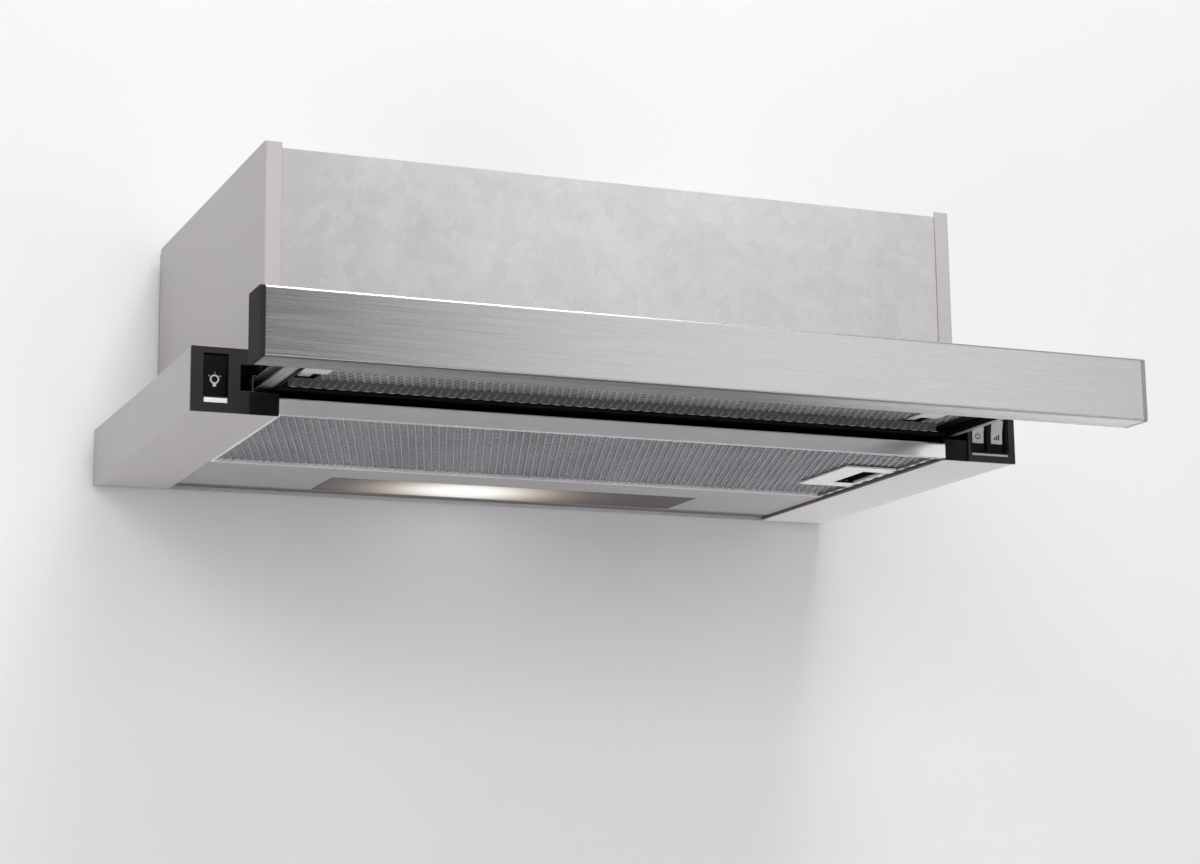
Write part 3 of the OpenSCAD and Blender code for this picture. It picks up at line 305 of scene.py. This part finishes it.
def painted_underside_reflection(t):
    """Steel of the panel's return with a painted reflection: dark towards its left end, where it
    would mirror the shaded wall, and light towards the right.
    """
    x0, x1 = UNDERSIDE_REFLECTION_TURN
    return t.mix(t.remap(t.place()[0], x0 * MM, x1 * MM),
                 rgb(0.16, 0.145, 0.155), rgb(0.62, 0.60, 0.62))


# Middle of the bulb's glow, painted on the lens, and half its width and depth: bright core and halo
GLOW_X, GLOW_Y = -28, -44
GLOW_CORE = (55, 36)
GLOW_HALO = (80, 50)
HALO_SHARE = 0.10
EULER = 2.718


def lens():
    """Frosted lamp cover with a painted glow on its left half, emitted by the cover itself where
    the bulb lies behind it.
    """
    mat, t = new_material("lens_plastic")
    place = t.place()

    def spot(half_x, half_y):
        dx = t.math("DIVIDE", t.math("SUBTRACT", place[0], GLOW_X * MM), half_x * MM)
        dy = t.math("DIVIDE", t.math("SUBTRACT", place[1], GLOW_Y * MM), half_y * MM)
        far = t.math("ADD", t.math("MULTIPLY", dx, dx), t.math("MULTIPLY", dy, dy))
        return t.math("POWER", EULER, t.math("MULTIPLY", far, -1.0))

    core = spot(*GLOW_CORE)
    fine = t.noise(1500.0)
    t.surface("ShaderNodeBsdfPrincipled", {
        "Base Color": t.mix(fine, rgb(0.070, 0.060, 0.062), rgb(0.090, 0.078, 0.080)),
        "Roughness": t.remap(fine, 0.3, 0.7, 0.34, 0.44),
        "Specular IOR Level": 0.15,
        "Normal": t.bump(fine, 0.10, 0.0001),
        "Emission Color": t.mix(t.remap(core, 0.0, 0.6), rgb(1.0, 0.83, 0.64),
                                rgb(1.0, 0.97, 0.91)),
        "Emission Strength": t.weighted((core, 1.0), (spot(*GLOW_HALO), HALO_SHARE)),
    })
    return mat


# Finger pockets, each from x to x and from y to y, and the height of their mouths, above which
# their insides get painted shade
LATCH_POCKETS = [(218.05, 235.05, -217.55, -170.45)]
LATCH_POCKET_H = 2.8
DRAWER_POCKETS = [(-234.05, -219.95, -327.05, -296.95), (205.95, 220.05, -327.05, -296.95)]
DRAWER_POCKET_H = 24.9
# Painted shade in the gaps at the inner edges of the wings, by distance from the middle and by
# height
WING_GAP_SHADE = (241.5, 243.1)
WING_GAP_SHADE_H = (0.3, 12.5)
WING_GAP_SHADE_SHARE = 0.86
# Painted shadow on the rear border of the lamp strip, from its front to its back
STRIP_REAR_SHADOW = (-19, -11)
STRIP_REAR_SHADOW_SHARE = 0.72
# Painted shade on the right rail of the lower filter: where it starts, and its share of nearly
# black
RAIL_SHADE_X = 237.4
RAIL_SHADE_SHARE = 0.75
# Painted shade on the lower step of the control caps: its distance from the middle
CAP_STEP_SHADE_X = 261.2


def painted_pocket_shade(t, pockets, mouth):
    """Painted shade inside pockets that open downwards."""
    x, y, z = t.place()
    inside = [t.math("MULTIPLY", t.between(x, x0, x1), t.between(y, y0, y1))
              for x0, x1, y0, y1 in pockets]
    deep = t.math("GREATER_THAN", z, (mouth - BASE_TOP) * MM)
    return t.math("MULTIPLY", t.chain("ADD", *inside), deep)


def painted_latch_pocket_shade(t):
    """Painted shade in the finger pocket of the lower filter."""
    return painted_pocket_shade(t, LATCH_POCKETS, LATCH_POCKET_H)


def painted_drawer_pocket_shade(t):
    """Painted shade in the finger pockets of the drawer's filter."""
    return painted_pocket_shade(t, DRAWER_POCKETS, DRAWER_POCKET_H)


def painted_filter_shade(t):
    """Painted shade in the finger pockets of the drawer's filter, and on the right rail below the
    net's cut cells.
    """
    rail = t.math("GREATER_THAN", t.place()[0], RAIL_SHADE_X * MM)
    return t.math("MAXIMUM", t.math("MULTIPLY", rail, RAIL_SHADE_SHARE), painted_drawer_pocket_shade(t))


def painted_wing_gap_shade(t):
    """Painted shade on the edge of a wing that faces the middle of the hood, in its narrow gap."""
    x, _, z = t.place()
    low, high = (h - BASE_TOP for h in WING_GAP_SHADE_H)
    near = t.between(t.math("ABSOLUTE", x), *WING_GAP_SHADE)
    return t.chain("MULTIPLY", near, t.between(z, low, high), WING_GAP_SHADE_SHARE)


def painted_strip_rear_shadow(t):
    """Painted shadow on the rear border of the lamp strip, where it meets the wall."""
    front, back = STRIP_REAR_SHADOW
    return t.remap(t.place()[1], front * MM, back * MM, 0.0, STRIP_REAR_SHADOW_SHARE)


def painted_cap_step_shade(t):
    """Painted shade on the lower step of a control cap beside the drawer's opening."""
    return t.math("LESS_THAN", t.math("ABSOLUTE", t.place()[0]), CAP_STEP_SHADE_X * MM)


WHITE = rgb(0.78, 0.77, 0.78)
MAT = {
    "grey_paint": material("grey_paint", rgb(0.50, 0.475, 0.495), 0.42, spread=0.03, grain=1400,
                           bump=0.12, dark=painted_wing_gap_shade),
    # Right wing: a lighter copy of grey_paint, painted light for the light that reaches its
    # underside from the right
    "grey_paint_painted_light": material("grey_paint_painted_light", rgb(0.61, 0.585, 0.605), 0.42, spread=0.03,
                                 grain=1400, bump=0.12, dark=painted_wing_gap_shade),
    "lamp_strip_paint": material("lamp_strip_paint", rgb(0.365, 0.348, 0.36), 0.42, spread=0.03,
                                 grain=1400, bump=0.12, dark=painted_strip_rear_shadow),
    "galvanised": galvanised(),
    "brushed_steel": brushed("brushed_steel", rgb(0.66, 0.65, 0.66), 0.26,
                             under=painted_underside_reflection),
    "fascia_steel": brushed("fascia_steel", rgb(0.93, 0.915, 0.94), 0.12, 0.3, Metallic=0.6),
    "black_plastic": material("black_plastic", rgb(0.006, 0.006, 0.006), 0.50, grain=1600,
                              bump=0.2, Specular_IOR_Level=0.12),
    "cap_plastic": material("cap_plastic", rgb(0.026, 0.022, 0.0245), 0.52, grain=1600,
                            bump=0.25, dark=painted_cap_step_shade, Specular_IOR_Level=0.25),
    "end_cap": material("end_cap", rgb(0.030, 0.025, 0.028), 0.55, grain=1600, bump=0.2,
                        Specular_IOR_Level=0.04),
    # Painted light: the drawer's right end cap in a lighter grey than the black left one, for the
    # light it catches from the right
    "grey_cap": material("grey_cap", rgb(0.31, 0.297, 0.31), 0.38, metallic=0.3, spread=0.03,
                         grain=1200),
    "white_plastic": material("white_plastic", WHITE, 0.38, spread=0.03),
    "latch_white": material("latch_white", WHITE, 0.38, spread=0.03, dark=painted_latch_pocket_shade),
    "indicator_white": material("indicator_white", rgb(0.84, 0.82, 0.83), 0.30, spread=0.03),
    "indicator_dim": material("indicator_dim", rgb(0.42, 0.40, 0.41), 0.35, spread=0.08,
                              grain=600),
    "filter_metal": material("filter_metal", rgb(0.84, 0.83, 0.85), 0.46, metallic=0.2,
                             grain=700, spread=0.10, dark=painted_filter_shade),
    "drawer_frame_metal": material("drawer_frame_metal", rgb(0.17, 0.17, 0.175), 0.50,
                                   metallic=0.5, grain=700, spread=0.12,
                                   dark=painted_drawer_pocket_shade),
    "zinc_steel": material("zinc_steel", rgb(0.40, 0.395, 0.40), 0.52, metallic=0.6, grain=500,
                           blotch=40),
    "ball_steel": material("ball_steel", rgb(0.75, 0.75, 0.76), 0.14, metallic=1.0, spread=0.03,
                           rough_spread=0.04),
    "black_steel": material("black_steel", rgb(0.004, 0.004, 0.004), 0.45, grain=1100,
                            bump=0.12, Specular_IOR_Level=0.12),
    "lens_plastic": lens(),
    "bulb_glass": material("bulb_glass", rgb(0.92, 0.88, 0.80), 0.30, spread=0.02,
                           Transmission_Weight=0.4, Emission_Color=rgb(1, 0.86, 0.68),
                           Emission_Strength=2.0),
    "blower_plastic": material("blower_plastic", rgb(0.030, 0.030, 0.032), 0.48, grain=1300,
                               bump=0.2),
    "motor_metal": material("motor_metal", rgb(0.48, 0.48, 0.49), 0.42, metallic=0.8, grain=350,
                            bump=0.3),
    "rubber": material("rubber", rgb(0.018, 0.018, 0.018), 0.72, grain=1500, bump=0.25),
    "fleece": material("filter_fleece", rgb(0.49, 0.48, 0.51), 0.85, spread=0.20, grain=520,
                       bump=0.8, depth=0.0006, metallic=0.2),
    "drawer_fleece": material("drawer_fleece", rgb(0.37, 0.37, 0.375), 0.85, spread=0.28,
                              grain=520, bump=0.8, depth=0.0006),
    "net": material("expanded_net", rgb(0.325, 0.317, 0.34), 0.55, metallic=0.25, spread=0.10,
                    grain=260),
    "drawer_net": material("drawer_net", rgb(0.60, 0.60, 0.605), 0.45, metallic=0.5,
                           spread=0.12, grain=260),
    "lip_net": material("lip_net", rgb(0.36, 0.36, 0.365), 0.5, metallic=0.3, spread=0.12,
                        grain=260),
    "net_bright": material("net_bright", rgb(0.85, 0.84, 0.85), 0.40, grain=300),
    "insert_grey": material("insert_grey", rgb(0.46, 0.45, 0.46), 0.42, spread=0.05,
                            grain=1400),
    "mark_dark": material("mark_dark", rgb(0.035, 0.033, 0.036), 0.5, spread=0.05, grain=1400),
    "mark_light": material("mark_light", rgb(0.56, 0.55, 0.56), 0.45, spread=0.04, grain=1400),
}
# Nodes that look different from the rest of their slot
OWN_FINISH = {
    "front_fascia": "fascia_steel", "filter_latch_plate": "latch_white",
    "drawer_filter_frame": "drawer_frame_metal", "control_indicator": "indicator_dim",
    "lamp_panel": "lamp_strip_paint", "drawer_left_cap": "end_cap",
    "right_wing": "grey_paint_painted_light",
}

for row in frame["record"]["subparts"]:
    finish = OWN_FINISH.get(row["node"], row["material_slot"])
    for material_slot in frame["nodes"][row["node"]].material_slots:
        material_slot.material = MAT[finish]


# ---------------------------------------------------------------- mesh helpers
def piece(name, verts, faces, looks, smooth=False):
    """A mesh object made of points and faces. looks is its material, its body and its slot; the
    slot is not used.
    """
    mat, body, slot = looks
    mesh = bpy.data.meshes.new(name)
    mesh.from_pydata([tuple(v) for v in verts], [], faces)
    bm = bmesh.new()
    bm.from_mesh(mesh)
    bmesh.ops.recalc_face_normals(bm, faces=bm.faces)
    bm.to_mesh(mesh)
    bm.free()
    mesh.polygons.foreach_set("use_smooth", [smooth] * len(mesh.polygons))
    mesh.materials.append(MAT[mat])
    obj = bpy.data.objects.new(name, mesh)
    bpy.context.scene.collection.objects.link(obj)
    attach(obj, body)
    return obj


def band(a, b, sides):
    """Faces between two loops of points that start at a and b."""
    return [(a + i, a + (i + 1) % sides, b + (i + 1) % sides, b + i) for i in range(sides)]


def tube(verts, sides, first=0, closed=False):
    """Faces that join loops of points one after another, from the point first on, and caps
    where the row is open."""
    count = (len(verts) - first) // sides
    faces = []
    for k in range(count if closed else count - 1):
        faces.extend(band(first + sides * k, first + sides * ((k + 1) % count), sides))
    if not closed:
        last = first + sides * (count - 1)
        faces.extend([tuple(range(first, first + sides)), tuple(range(last, last + sides))])
    return faces


# ---------------------------------------------------------------- filters
# Width, thickness and lean of a strand of the expanded metal
STRAND_W = 1.4
STRAND_T = 0.3
STRAND_LEAN = 0.2


def strand(p, q, verts, faces):
    """One flat strand of a net from p to q, turned about its length by its lean."""
    along = (q - p).normalized()
    side = Vector((-along.y, along.x, 0))
    up = Vector((0, 0, 1))
    c, s = math.cos(STRAND_LEAN), math.sin(STRAND_LEAN)
    u = (side * c + up * s) * (STRAND_W * MM) / 2
    v = (up * c - side * s) * (STRAND_T * MM) / 2
    first = len(verts)
    for end in (p, q):
        verts.extend([end - u - v, end + u - v, end + u + v, end - u + v])
    faces.extend(band(first, first + 4, 4))


def net(name, x0, x1, y0, y1, h, holes, looks, node):
    """Expanded metal in place of a node: staggered diamonds whose strands lean the same way."""
    nx = round((x1 - x0) / (NET_CELL_X / 2))
    ny = round((y1 - y0) / (NET_CELL_Y / 2))
    sx, sy = (x1 - x0) / nx, (y1 - y0) / ny
    verts, faces = [], []
    for i in range(nx):
        for j in range(ny):
            mid_x, mid_y = x0 + (i + 0.5) * sx, y0 + (j + 0.5) * sy
            if any(a < mid_x < b and c < mid_y < d for a, b, c, d in holes):
                continue
            low, high = (j, j + 1) if (i + j) % 2 == 0 else (j + 1, j)
            strand(at(x0 + i * sx, y0 + low * sy, h), at(x0 + (i + 1) * sx, y0 + high * sy, h),
                   verts, faces)
    obj = piece(name, verts, faces, looks)
    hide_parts(node)


def sheet(name, x0, x1, y0, y1, h, thick, holes, looks):
    """A thin layer with rectangular holes, cut into strips along y."""
    cuts = sorted({y0, y1, *[v for _, _, c, d in holes for v in (c, d) if y0 < v < y1]})
    verts, faces = [], []
    for c0, c1 in zip(cuts, cuts[1:]):
        gaps = sorted((a, b) for a, b, c, d in holes if c < (c0 + c1) / 2 < d)
        left = x0
        for a, b in [*gaps, (x1, x1)]:
            if a > left:
                first = len(verts)
                for z in (h, h + thick):
                    verts.extend([at(left, c0, z), at(a, c0, z), at(a, c1, z), at(left, c1, z)])
                faces.extend(tube(verts, 4, first))
            left = b
    piece(name, verts, faces, looks)


# Outsides of the latch pockets, from x to x and from y to y
LATCH_CUP = (217.1, 236.1, -218.5, -169.5)
SMALL_CUPS = [(-235.0, -219.0, -328.2, -290.0), (205.0, 221.0, -328.2, -290.0)]
# A strand is left out where its middle lies in a hole, so these reach half a strand further
HALF_STRAND = 4.4
NET_CUPS = [(x0, x1, y0 - HALF_STRAND, y1) for x0, x1, y0, y1 in SMALL_CUPS]
# The lower and the drawer's filter, from x to x and from y to y
LOWER = (-237.5, 237.5, -290.3, -109.3)
DRAWER = (-237.9, 237.9, -427.7, -294.7)
net("lower_filter_net", *LOWER, h=4.5, holes=[LATCH_CUP],
    looks=("net", "hood", "filter_metal"), node="filter_net")
sheet("lower_filter_fleece", *LOWER, h=5.3, thick=2.6, holes=[LATCH_CUP],
      looks=("fleece", "hood", "filter_metal"))
net("drawer_filter_net_fine", *DRAWER, h=25.4, holes=NET_CUPS,
    looks=("drawer_net", "drawer", "filter_metal"), node="drawer_filter_net")
sheet("drawer_filter_fleece", *DRAWER, h=26.2, thick=2.2, holes=SMALL_CUPS,
      looks=("drawer_fleece", "drawer", "filter_metal"))


# ---------------------------------------------------------------- trim
# Rings of a stud, by their share of its width and of its height
STUD_RINGS = [(1.0, 0.0), (0.86, 0.5), (0.5, 0.86)]
STUD_SIDES = 12
ROD_SIDES = 8


def studs(name, start, step, count, half, looks):
    """A row of small domes that stand down from start, given by half their width and depth
    and by their height."""
    verts, faces = [], []
    rx, ry, rz = (v * MM for v in half)
    for k in range(count):
        centre = start + Vector(step) * MM * k
        first = len(verts)
        for share, lift in STUD_RINGS:
            for i in range(STUD_SIDES):
                a = 2 * math.pi * i / STUD_SIDES
                verts.append(centre + Vector((rx * share * math.cos(a), ry * share * math.sin(a),
                                              -rz * lift)))
        tip = len(verts)
        verts.append(centre + Vector((0, 0, -rz)))
        for ring in range(first, tip - STUD_SIDES, STUD_SIDES):
            faces.extend(band(ring, ring + STUD_SIDES, STUD_SIDES))
        top = tip - STUD_SIDES
        faces.extend([(top + i, top + (i + 1) % STUD_SIDES, tip) for i in range(STUD_SIDES)])
        faces.append(tuple(range(first, first + STUD_SIDES)))
    piece(name, verts, faces, looks, smooth=True)


def rod(name, start, stop, radius, looks):
    """A round rod between two points on a level."""
    along = (stop - start).normalized()
    side = along.cross(Vector((0, 0, 1))).normalized()
    up = side.cross(along)
    verts = []
    for end in (start, stop):
        for s in range(ROD_SIDES):
            a = 2 * math.pi * s / ROD_SIDES
            verts.append(end + (side * math.cos(a) + up * math.sin(a)) * (radius * MM))
    piece(name, verts, tube(verts, ROD_SIDES), looks, smooth=True)


def lip_net(name, x0, x1, y, h0, h1, width, thick, looks):
    """The net folded up behind a lip: leaning strands side by side."""
    count = round((x1 - x0) / NET_CELL_X)
    step = (x1 - x0) / count
    verts, faces = [], []
    for k in range(count):
        foot, head = x0 + k * step, x0 + (k + 0.5) * step
        first = len(verts)
        for side in (y, y - thick):
            verts.extend([at(foot, side, h0), at(foot + width, side, h0),
                          at(head + width, side, h1), at(head, side, h1)])
        faces.extend(tube(verts, 4, first))
    piece(name, verts, faces, looks)


# The net's cut cells over the right rail of the lower filter
studs("lower_filter_edge", start=at(238.7, -284.5, 2.52), step=(0, NET_CELL_Y, 0), count=12,
      half=(1.25, 4.8, 0.45), looks=("net_bright", "hood", "filter_metal"))
# Rolled lower edge of the fascia
rod("fascia_edge", at(-239.5, -292.3, 1.05), at(239.5, -292.3, 1.05), radius=0.45,
    looks=("net_bright", "hood", "brushed_steel"))
# Rolled edge below the rear lip of the drawer's filter, bright where the light catches it
studs("drawer_filter_edge", start=at(-232.5, -292.62, 20.12), step=(8.2, 0, 0), count=58,
      half=(2.9, 0.38, 0.30), looks=("net_bright", "drawer", "filter_metal"))
lip_net("drawer_filter_lip_net", x0=-234.0, x1=231.0, y=-293.05, h0=20.6, h1=23.9, width=1.1,
        thick=0.25, looks=("lip_net", "drawer", "filter_metal"))


# ---------------------------------------------------------------- rockers
# Pivots of the rockers, their tilt at rest, and how far the face stands out from the pivot:
# in its middle, and how much more at its ends
ROCKER_Y = -294.6 + 5.2
ROCKER_TILT = math.radians(8)
ROCKER_MIDDLE = 1.8
ROCKER_RISE = 1.2
# Half the length of a rocker's face, and the height of its pivot
LAMP_ROCKER = (13.2, 23.6)
FAN_ROCKER = (13.7, 22)
# Parts that a ring or an arc is made of
ARC_STEPS = 28


def on_rocker(rocker, x, v, out):
    """Point on a rocker: v along its face from the middle, and out from its surface."""
    half, pivot_h = rocker
    y = -(ROCKER_MIDDLE + ROCKER_RISE * abs(v) / half) - out
    c, s = math.cos(ROCKER_TILT), math.sin(ROCKER_TILT)
    return at(x, ROCKER_Y + y * c - v * s, pivot_h + y * s + v * c)


def rocker_plate(name, rocker, x0, x1, v0, v1, thick, looks):
    """Thin plate on a rocker's face, bent where the two halves of the face meet."""
    verts = []
    for v in (v0, 0.0, v1) if v0 < 0 < v1 else (v0, v1):
        for x, out in ((x0, 0.0), (x1, 0.0), (x1, thick), (x0, thick)):
            verts.append(on_rocker(rocker, x, v, out))
    piece(name, verts, tube(verts, 4), looks)


def rocker_arc(name, rocker, x, v, radius, start, stop, width, out, thick, looks):
    """Flat ring or arc on a rocker's face, between angles from its top in degrees."""
    whole = stop - start == 360
    inner, outer = radius - width / 2, radius + width / 2
    verts = []
    for k in range(ARC_STEPS if whole else ARC_STEPS + 1):
        a = math.radians(start + (stop - start) * k / ARC_STEPS)
        for r, o in ((inner, out), (outer, out), (outer, out + thick), (inner, out + thick)):
            verts.append(on_rocker(rocker, x + r * math.sin(a), v + r * math.cos(a), o))
    piece(name, verts, tube(verts, 4, closed=whole), looks)


# Lamp symbol: a ring over a short base, with three rays
MARK_X, MARK_V = -283.2, -1.9
MARK_T = 0.15
MARK_BASE_HALF = 1.1
RAY_RADIUS = 4.2
RAY_HALF = 0.35
LAMP_LOOKS = ("mark_light", "light_rocker", "indicator_white")
rocker_arc("lamp_mark_ring", LAMP_ROCKER, MARK_X, MARK_V, radius=2.5, start=0, stop=360,
           width=1.0, out=0.0, thick=MARK_T, looks=LAMP_LOOKS)
rocker_plate("lamp_mark_base", LAMP_ROCKER, MARK_X - MARK_BASE_HALF, MARK_X + MARK_BASE_HALF,
             v0=-6.6, v1=-4.6, thick=MARK_T, looks=LAMP_LOOKS)
for k, angle in enumerate((-60, 0, 60)):
    x = MARK_X + RAY_RADIUS * math.sin(math.radians(angle))
    v = MARK_V + RAY_RADIUS * math.cos(math.radians(angle))
    rocker_plate(f"lamp_mark_ray_{k + 1}", LAMP_ROCKER, x - RAY_HALF, x + RAY_HALF,
                 v - RAY_HALF, v + RAY_HALF, MARK_T, LAMP_LOOKS)

# Light inserts of the fan rockers. Their marks lie on them, so plates there are measured
# from the rocker's own face.
POWER_X, SPEED_X = 270.9, 286.2
INSERT_HALF = 4.6
INSERT_BOTTOM, INSERT_TOP = -7.6, 9.2
INSERT_T = 0.3
FAN_MARK_T = 0.45
for body, x in (("power_rocker", POWER_X), ("speed_rocker", SPEED_X)):
    rocker_plate(f"{body}_insert", FAN_ROCKER, x - INSERT_HALF, x + INSERT_HALF, INSERT_BOTTOM,
                 INSERT_TOP, INSERT_T, ("insert_grey", body, "black_plastic"))

# Power symbol: a ring that is open above, and a bar up from its middle
POWER_V = -2.6
POWER_BAR_HALF = 0.35
POWER_LOOKS = ("mark_dark", "power_rocker", "black_plastic")
rocker_arc("power_mark_ring", FAN_ROCKER, POWER_X, POWER_V, radius=1.9, start=35, stop=325,
           width=0.7, out=INSERT_T, thick=0.12, looks=POWER_LOOKS)
rocker_plate("power_mark_bar", FAN_ROCKER, POWER_X - POWER_BAR_HALF, POWER_X + POWER_BAR_HALF,
             v0=POWER_V, v1=0.0, thick=FAN_MARK_T, looks=POWER_LOOKS)

# Speed symbol: three bars, each higher than the one on its left
BAR_START, BAR_PITCH, BAR_WIDTH = SPEED_X - 2.3, 1.7, 1.2
BAR_FOOT, BAR_TOP, BAR_RISE = -4.6, -2.9, 1.1
for k in range(3):
    x = BAR_START + BAR_PITCH * k
    rocker_plate(f"speed_mark_{k + 1}", FAN_ROCKER, x, x + BAR_WIDTH, v0=BAR_FOOT,
                 v1=BAR_TOP + BAR_RISE * k, thick=FAN_MARK_T,
                 looks=("mark_dark", "speed_rocker", "black_plastic"))


# ---------------------------------------------------------------- stage, light
# Stage in metres: the floor's height, the wall's distance, and how far they reach
FLOOR_Z = -1.1
WALL_Y = 0.006
STAGE_REACH = 5
WALL_TOP = 4


def one_sided(name, colour):
    """Matt stage paint that is clear from behind, so that no view is blocked."""
    mat, t = new_material(name)
    paint = t.add("ShaderNodeBsdfDiffuse", {
        "Color": t.mix(t.noise(40.0), shade(colour, 0.995), shade(colour, 1.005)),
        "Roughness": 0.8,
    })
    t.surface("ShaderNodeMixShader", {
        0: t.add("ShaderNodeNewGeometry").outputs["Backfacing"],
        1: paint,
        2: t.add("ShaderNodeBsdfTransparent"),
    })
    return mat


def stage_plane(name, corners, mat):
    mesh = bpy.data.meshes.new(name)
    mesh.from_pydata(corners, [], [(0, 1, 2, 3)])
    mesh.materials.append(mat)
    obj = bpy.data.objects.new(name, mesh)
    bpy.context.scene.collection.objects.link(obj)
    obj.visible_shadow = False


stage_plane("wall", [(-STAGE_REACH, WALL_Y, FLOOR_Z), (STAGE_REACH, WALL_Y, FLOOR_Z),
                     (STAGE_REACH, WALL_Y, WALL_TOP), (-STAGE_REACH, WALL_Y, WALL_TOP)],
            one_sided("wall_paint", rgb(0.85, 0.847, 0.85)))
stage_plane("floor", [(-STAGE_REACH, -STAGE_REACH, FLOOR_Z), (STAGE_REACH, -STAGE_REACH, FLOOR_Z),
                      (STAGE_REACH, WALL_Y, FLOOR_Z), (-STAGE_REACH, WALL_Y, FLOOR_Z)],
            one_sided("floor_paint", rgb(0.69, 0.69, 0.69)))

# Surround, by the turn in radians from straight in front towards the right: where it gets
# bright, and where it loses a share of that again
RISE = (0.27, 0.40)
FADE = (0.50, 0.90)
FADE_SHARE = 0.69


def set_world():
    """Studio surround as the panel mirrors it: dark in front and on the left, a bright band a
    little to the right, and a third as bright beyond."""
    world = bpy.data.worlds.new("studio")
    bpy.context.scene.world = world
    world.use_nodes = True
    t = Tree(world.node_tree)
    coords = t.add("ShaderNodeTexCoord").outputs["Generated"]
    x, y, _ = t.add("ShaderNodeSeparateXYZ", {0: coords}).outputs
    turn = t.math("ARCTAN2", x, t.math("MULTIPLY", y, -1.0))
    level = t.math("SUBTRACT", t.remap(turn, *RISE, kind="SMOOTHSTEP"),
                   t.remap(turn, *FADE, 0.0, FADE_SHARE, kind="SMOOTHSTEP"))
    t.add("ShaderNodeOutputWorld", {"Surface": t.add("ShaderNodeBackground", {
        "Color": t.mix(level, rgb(0.008, 0.0075, 0.008), rgb(1.0, 0.995, 1.0)), "Strength": 1.0
    })})


# Area lights: place and target in metres, width and height in metres, watts, and whether
# metal mirrors them
LIGHTS = {
    "overhead": ((-0.30, -1.1, 2.3), (-0.15, -0.05, 0), (1.3, 0.9), 12.5, True),
    "overhead_near": ((0.0, -0.75, 2.5), (0.0, -0.05, 0), (0.6, 0.4), 18, True),
    "overhead_right": ((0.60, -1.4, 2.4), (0.1, -0.05, 0), (0.6, 0.5), 25.5, True),
    "front_soft": ((-0.60, -3.0, 0.30), (-0.25, 0, -0.1), (1.6, 1.2), 39, False),
    # Behind the wall, which throws no shadow: it lights the underside and not the wall
    "low_rear": ((0.62, 0.20, -0.36), (0.27, -0.15, -0.04), (0.4, 0.3), 1.45, False),
    "side_soft": ((-1.7, -2.2, 1.1), (-0.2, -0.05, 0), (1.2, 1.0), 10.5, False),
}

set_world()
for name, (place, target, size, watts, mirrored) in LIGHTS.items():
    light = bpy.data.lights.new(name, "AREA")
    light.shape = "RECTANGLE"
    light.size, light.size_y = size
    light.energy = watts
    lamp = bpy.data.objects.new(name, light)
    lamp.location = place
    lamp.rotation_mode = "QUATERNION"
    lamp.rotation_quaternion = (Vector(target) - Vector(place)).to_track_quat("-Z", "Y")
    lamp.visible_camera = False
    lamp.visible_glossy = mirrored
    bpy.context.scene.collection.objects.link(lamp)
